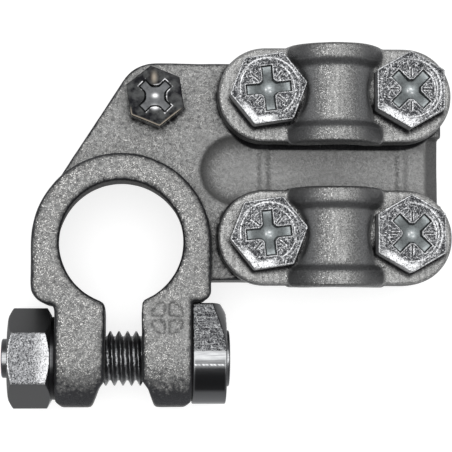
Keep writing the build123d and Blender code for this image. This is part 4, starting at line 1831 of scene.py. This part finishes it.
def casting_pieces() -> list[Casting]:
    """The clamp body and the two saddles."""
    crease = [Vector((x, y, 14.4)) for x, y in ((3.3, -19.9), (4.3, -20.6), (5.5, -21.0), (7.2, -21.2))]
    dents = [(start, end, 0.45, 0.16) for start, end in zip(crease, crease[1:])]
    dish = Zone((10.6, 5.0, 5.0), (20.0, 16.8, 9.4), strength=0.5, fade=0.8)
    ribs = Zone((19.5, 5.0, 5.0), (47.0, 16.8, 8.8), strength=0.15)
    ring_top = Zone((-14.0, -7.0, 12.4), (14.0, 14.0, 15.0), strength=0.4)
    left_lug_top = Zone((-10.5, -25.0, 12.4), (-1.0, -6.0, 15.0), strength=0.4)
    right_lug_tip = Zone((2.0, -25.0, 12.4), (11.0, -14.5, 15.0), strength=0.12)
    channel = Zone((10.6, 5.4, 5.0), (49.0, 16.4, 9.3))
    mouth = Zone((44.5, 5.4, 1.5), (49.0, 16.4, 9.3))
    mark = Zone((3.4, -14.1, 13.5), (9.8, -7.7, 15.0), strength=0.5)
    pieces = [
        Casting(
            node="clamp_body",
            body="body",
            voxel_mm=0.23,
            most_triangles=195_000,
            soften=9,
            soft_zones=(dish, ribs, ring_top, left_lug_top, right_lug_tip),
            soft_passes=110,
            dents=tuple(dents),
            # the channel, its mouth and the mark are painted lighter, a painted lift of light
            shelters=(channel, mouth, mark),
            grime=(
                # painted shadow round the small screw and along the saddles; painted shade on the bore
                # wall and in the channel
                PaintedShadowRing("accessory_screw", SMALL_FLATS, SMALL_CORNER, SMALL_HEAD, reach=0.2),
                PaintedShadowSeam("cable_saddle_rear", channel, reach=0.2),
                PaintedShadowSeam("cable_saddle_front", channel, reach=0.15),
                PaintedShadeWall(below=14.0, within=9.9, strength=0.75),
                HollowShade(channel, 12.0, 20.0),
                HollowShade(mouth, 45.6, 44.9, strength=0.6),
            ),
        )
    ]
    for row in ("rear", "front"):
        node = f"cable_saddle_{row}"
        low, high = (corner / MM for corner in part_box(node))
        hump = Zone(
            (low.x + 8.0, low.y + 0.3, low.z + 3.3), (high.x - 8.0, high.y - 0.3, high.z + 1.0)
        )
        # painted shadow round each screw head; painted shade on the walls and bead slopes
        rings = [
            PaintedShadowRing(f"saddle_screw_{row}_{column}", SADDLE_FLATS, corner, SADDLE_HEAD)
            for column, corner in COLUMNS
        ]
        slope = PaintedShadeSlope(low.z + 3.6, (low.y + high.y) / 2)
        pieces.append(
            Casting(
                node=node,
                body=f"{row}_saddle",
                voxel_mm=0.17,
                most_triangles=90_000,
                soften=4,
                soft_zones=(hump,),
                shelters=(hump,),
                soft_passes=100,
                grime=(*rings, PaintedShadeWall(below=low.z + 3.2), slope),
            )
        )
    return pieces


def saddle_screws() -> list[CrossHeadScrew]:
    """The four screws of the two saddles, each column turned as it was left."""
    screws = []
    for row in ("rear", "front"):
        for column, corner in COLUMNS:
            screws.append(
                CrossHeadScrew(
                    node=f"saddle_screw_{row}_{column}",
                    body=f"{row}_{column}_screw",
                    across_flats=SADDLE_FLATS,
                    head_height=SADDLE_HEAD,
                    corner_deg=corner,
                    arm_deg=ARM_TURNS[column],
                    recess=SADDLE_RECESS,
                    # painted highlight spots in the recess
                    glints=((0.1, 0.15, 0.22, 0.12), (-0.35, -0.1, 0.12, 0.2), (0.3, -0.4, 0.14, 0.1)),
                    arcs=PAINTED_HIGHLIGHT_ARCS[column],
                    rays=RAYS[column],
                    thread=Thread(6.0, 1.0),
                    slot=Slot.ZINC,
                )
            )
    return screws


def accessory_screw() -> CrossHeadScrew:
    """The small dark screw that holds an accessory lead."""
    return CrossHeadScrew(
        node="accessory_screw",
        body="small_screw",
        across_flats=SMALL_FLATS,
        head_height=SMALL_HEAD,
        corner_deg=SMALL_CORNER,
        arm_deg=45.0,
        recess=SMALL_RECESS,
        thread=Thread(5.0, 0.8),
        slot=Slot.CHROME,
        painted_highlight_sector=(270.0, 0.0),
        edge_strength=0.0,
        lip_strength=0.85,
        # painted highlight spots in the recess and a painted brown reflection
        glints=((0.0, 0.12, 0.38, 0.28), (0.0, -1.62, 0.5, 0.34)),
        painted_reflection=(-0.15, 2.7, 0.36),
    )


def report(piece: Piece) -> None:
    """Logs a finished piece with its triangle count."""
    triangles = sum(len(face.vertices) - 2 for face in piece.data.polygons)
    log.info("%s: %d triangles", piece.name, triangles)


def main() -> None:
    """Builds the object and its studio."""
    logging.basicConfig(level=logging.INFO, format="%(name)s: %(message)s")
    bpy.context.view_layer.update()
    Studio().build()
    cast, saddle = CastFinish().material(), SaddleFinish().material()
    for casting in casting_pieces():
        report(casting.build(cast if casting.node == "clamp_body" else saddle))
    screw_zinc = ZincFinish("EtchedZincScrews").material()
    for screw in saddle_screws():
        report(screw.build(screw_zinc))
    report(accessory_screw().build(ChromeFinish().material()))
    bolt_zinc = ZincFinish(
        "EtchedZincBolt",
        light=(0.09, 0.092, 0.096),
        line=(0.36, 0.365, 0.37),
        wall=(0.30, 0.304, 0.312),
        drawn=0.4,
    ).material()
    report(PinchBolt().build(bolt_zinc))
    nut_zinc = ZincFinish(
        "EtchedZincNut",
        dark=(0.075, 0.077, 0.081),
        light=(0.22, 0.223, 0.23),
        line=(0.36, 0.363, 0.37),
        flank=(0.07, 0.071, 0.073),
    ).material()
    report(PinchNut().build(nut_zinc))
    bpy.context.view_layer.update()


if __name__ == "__main__":
    main()
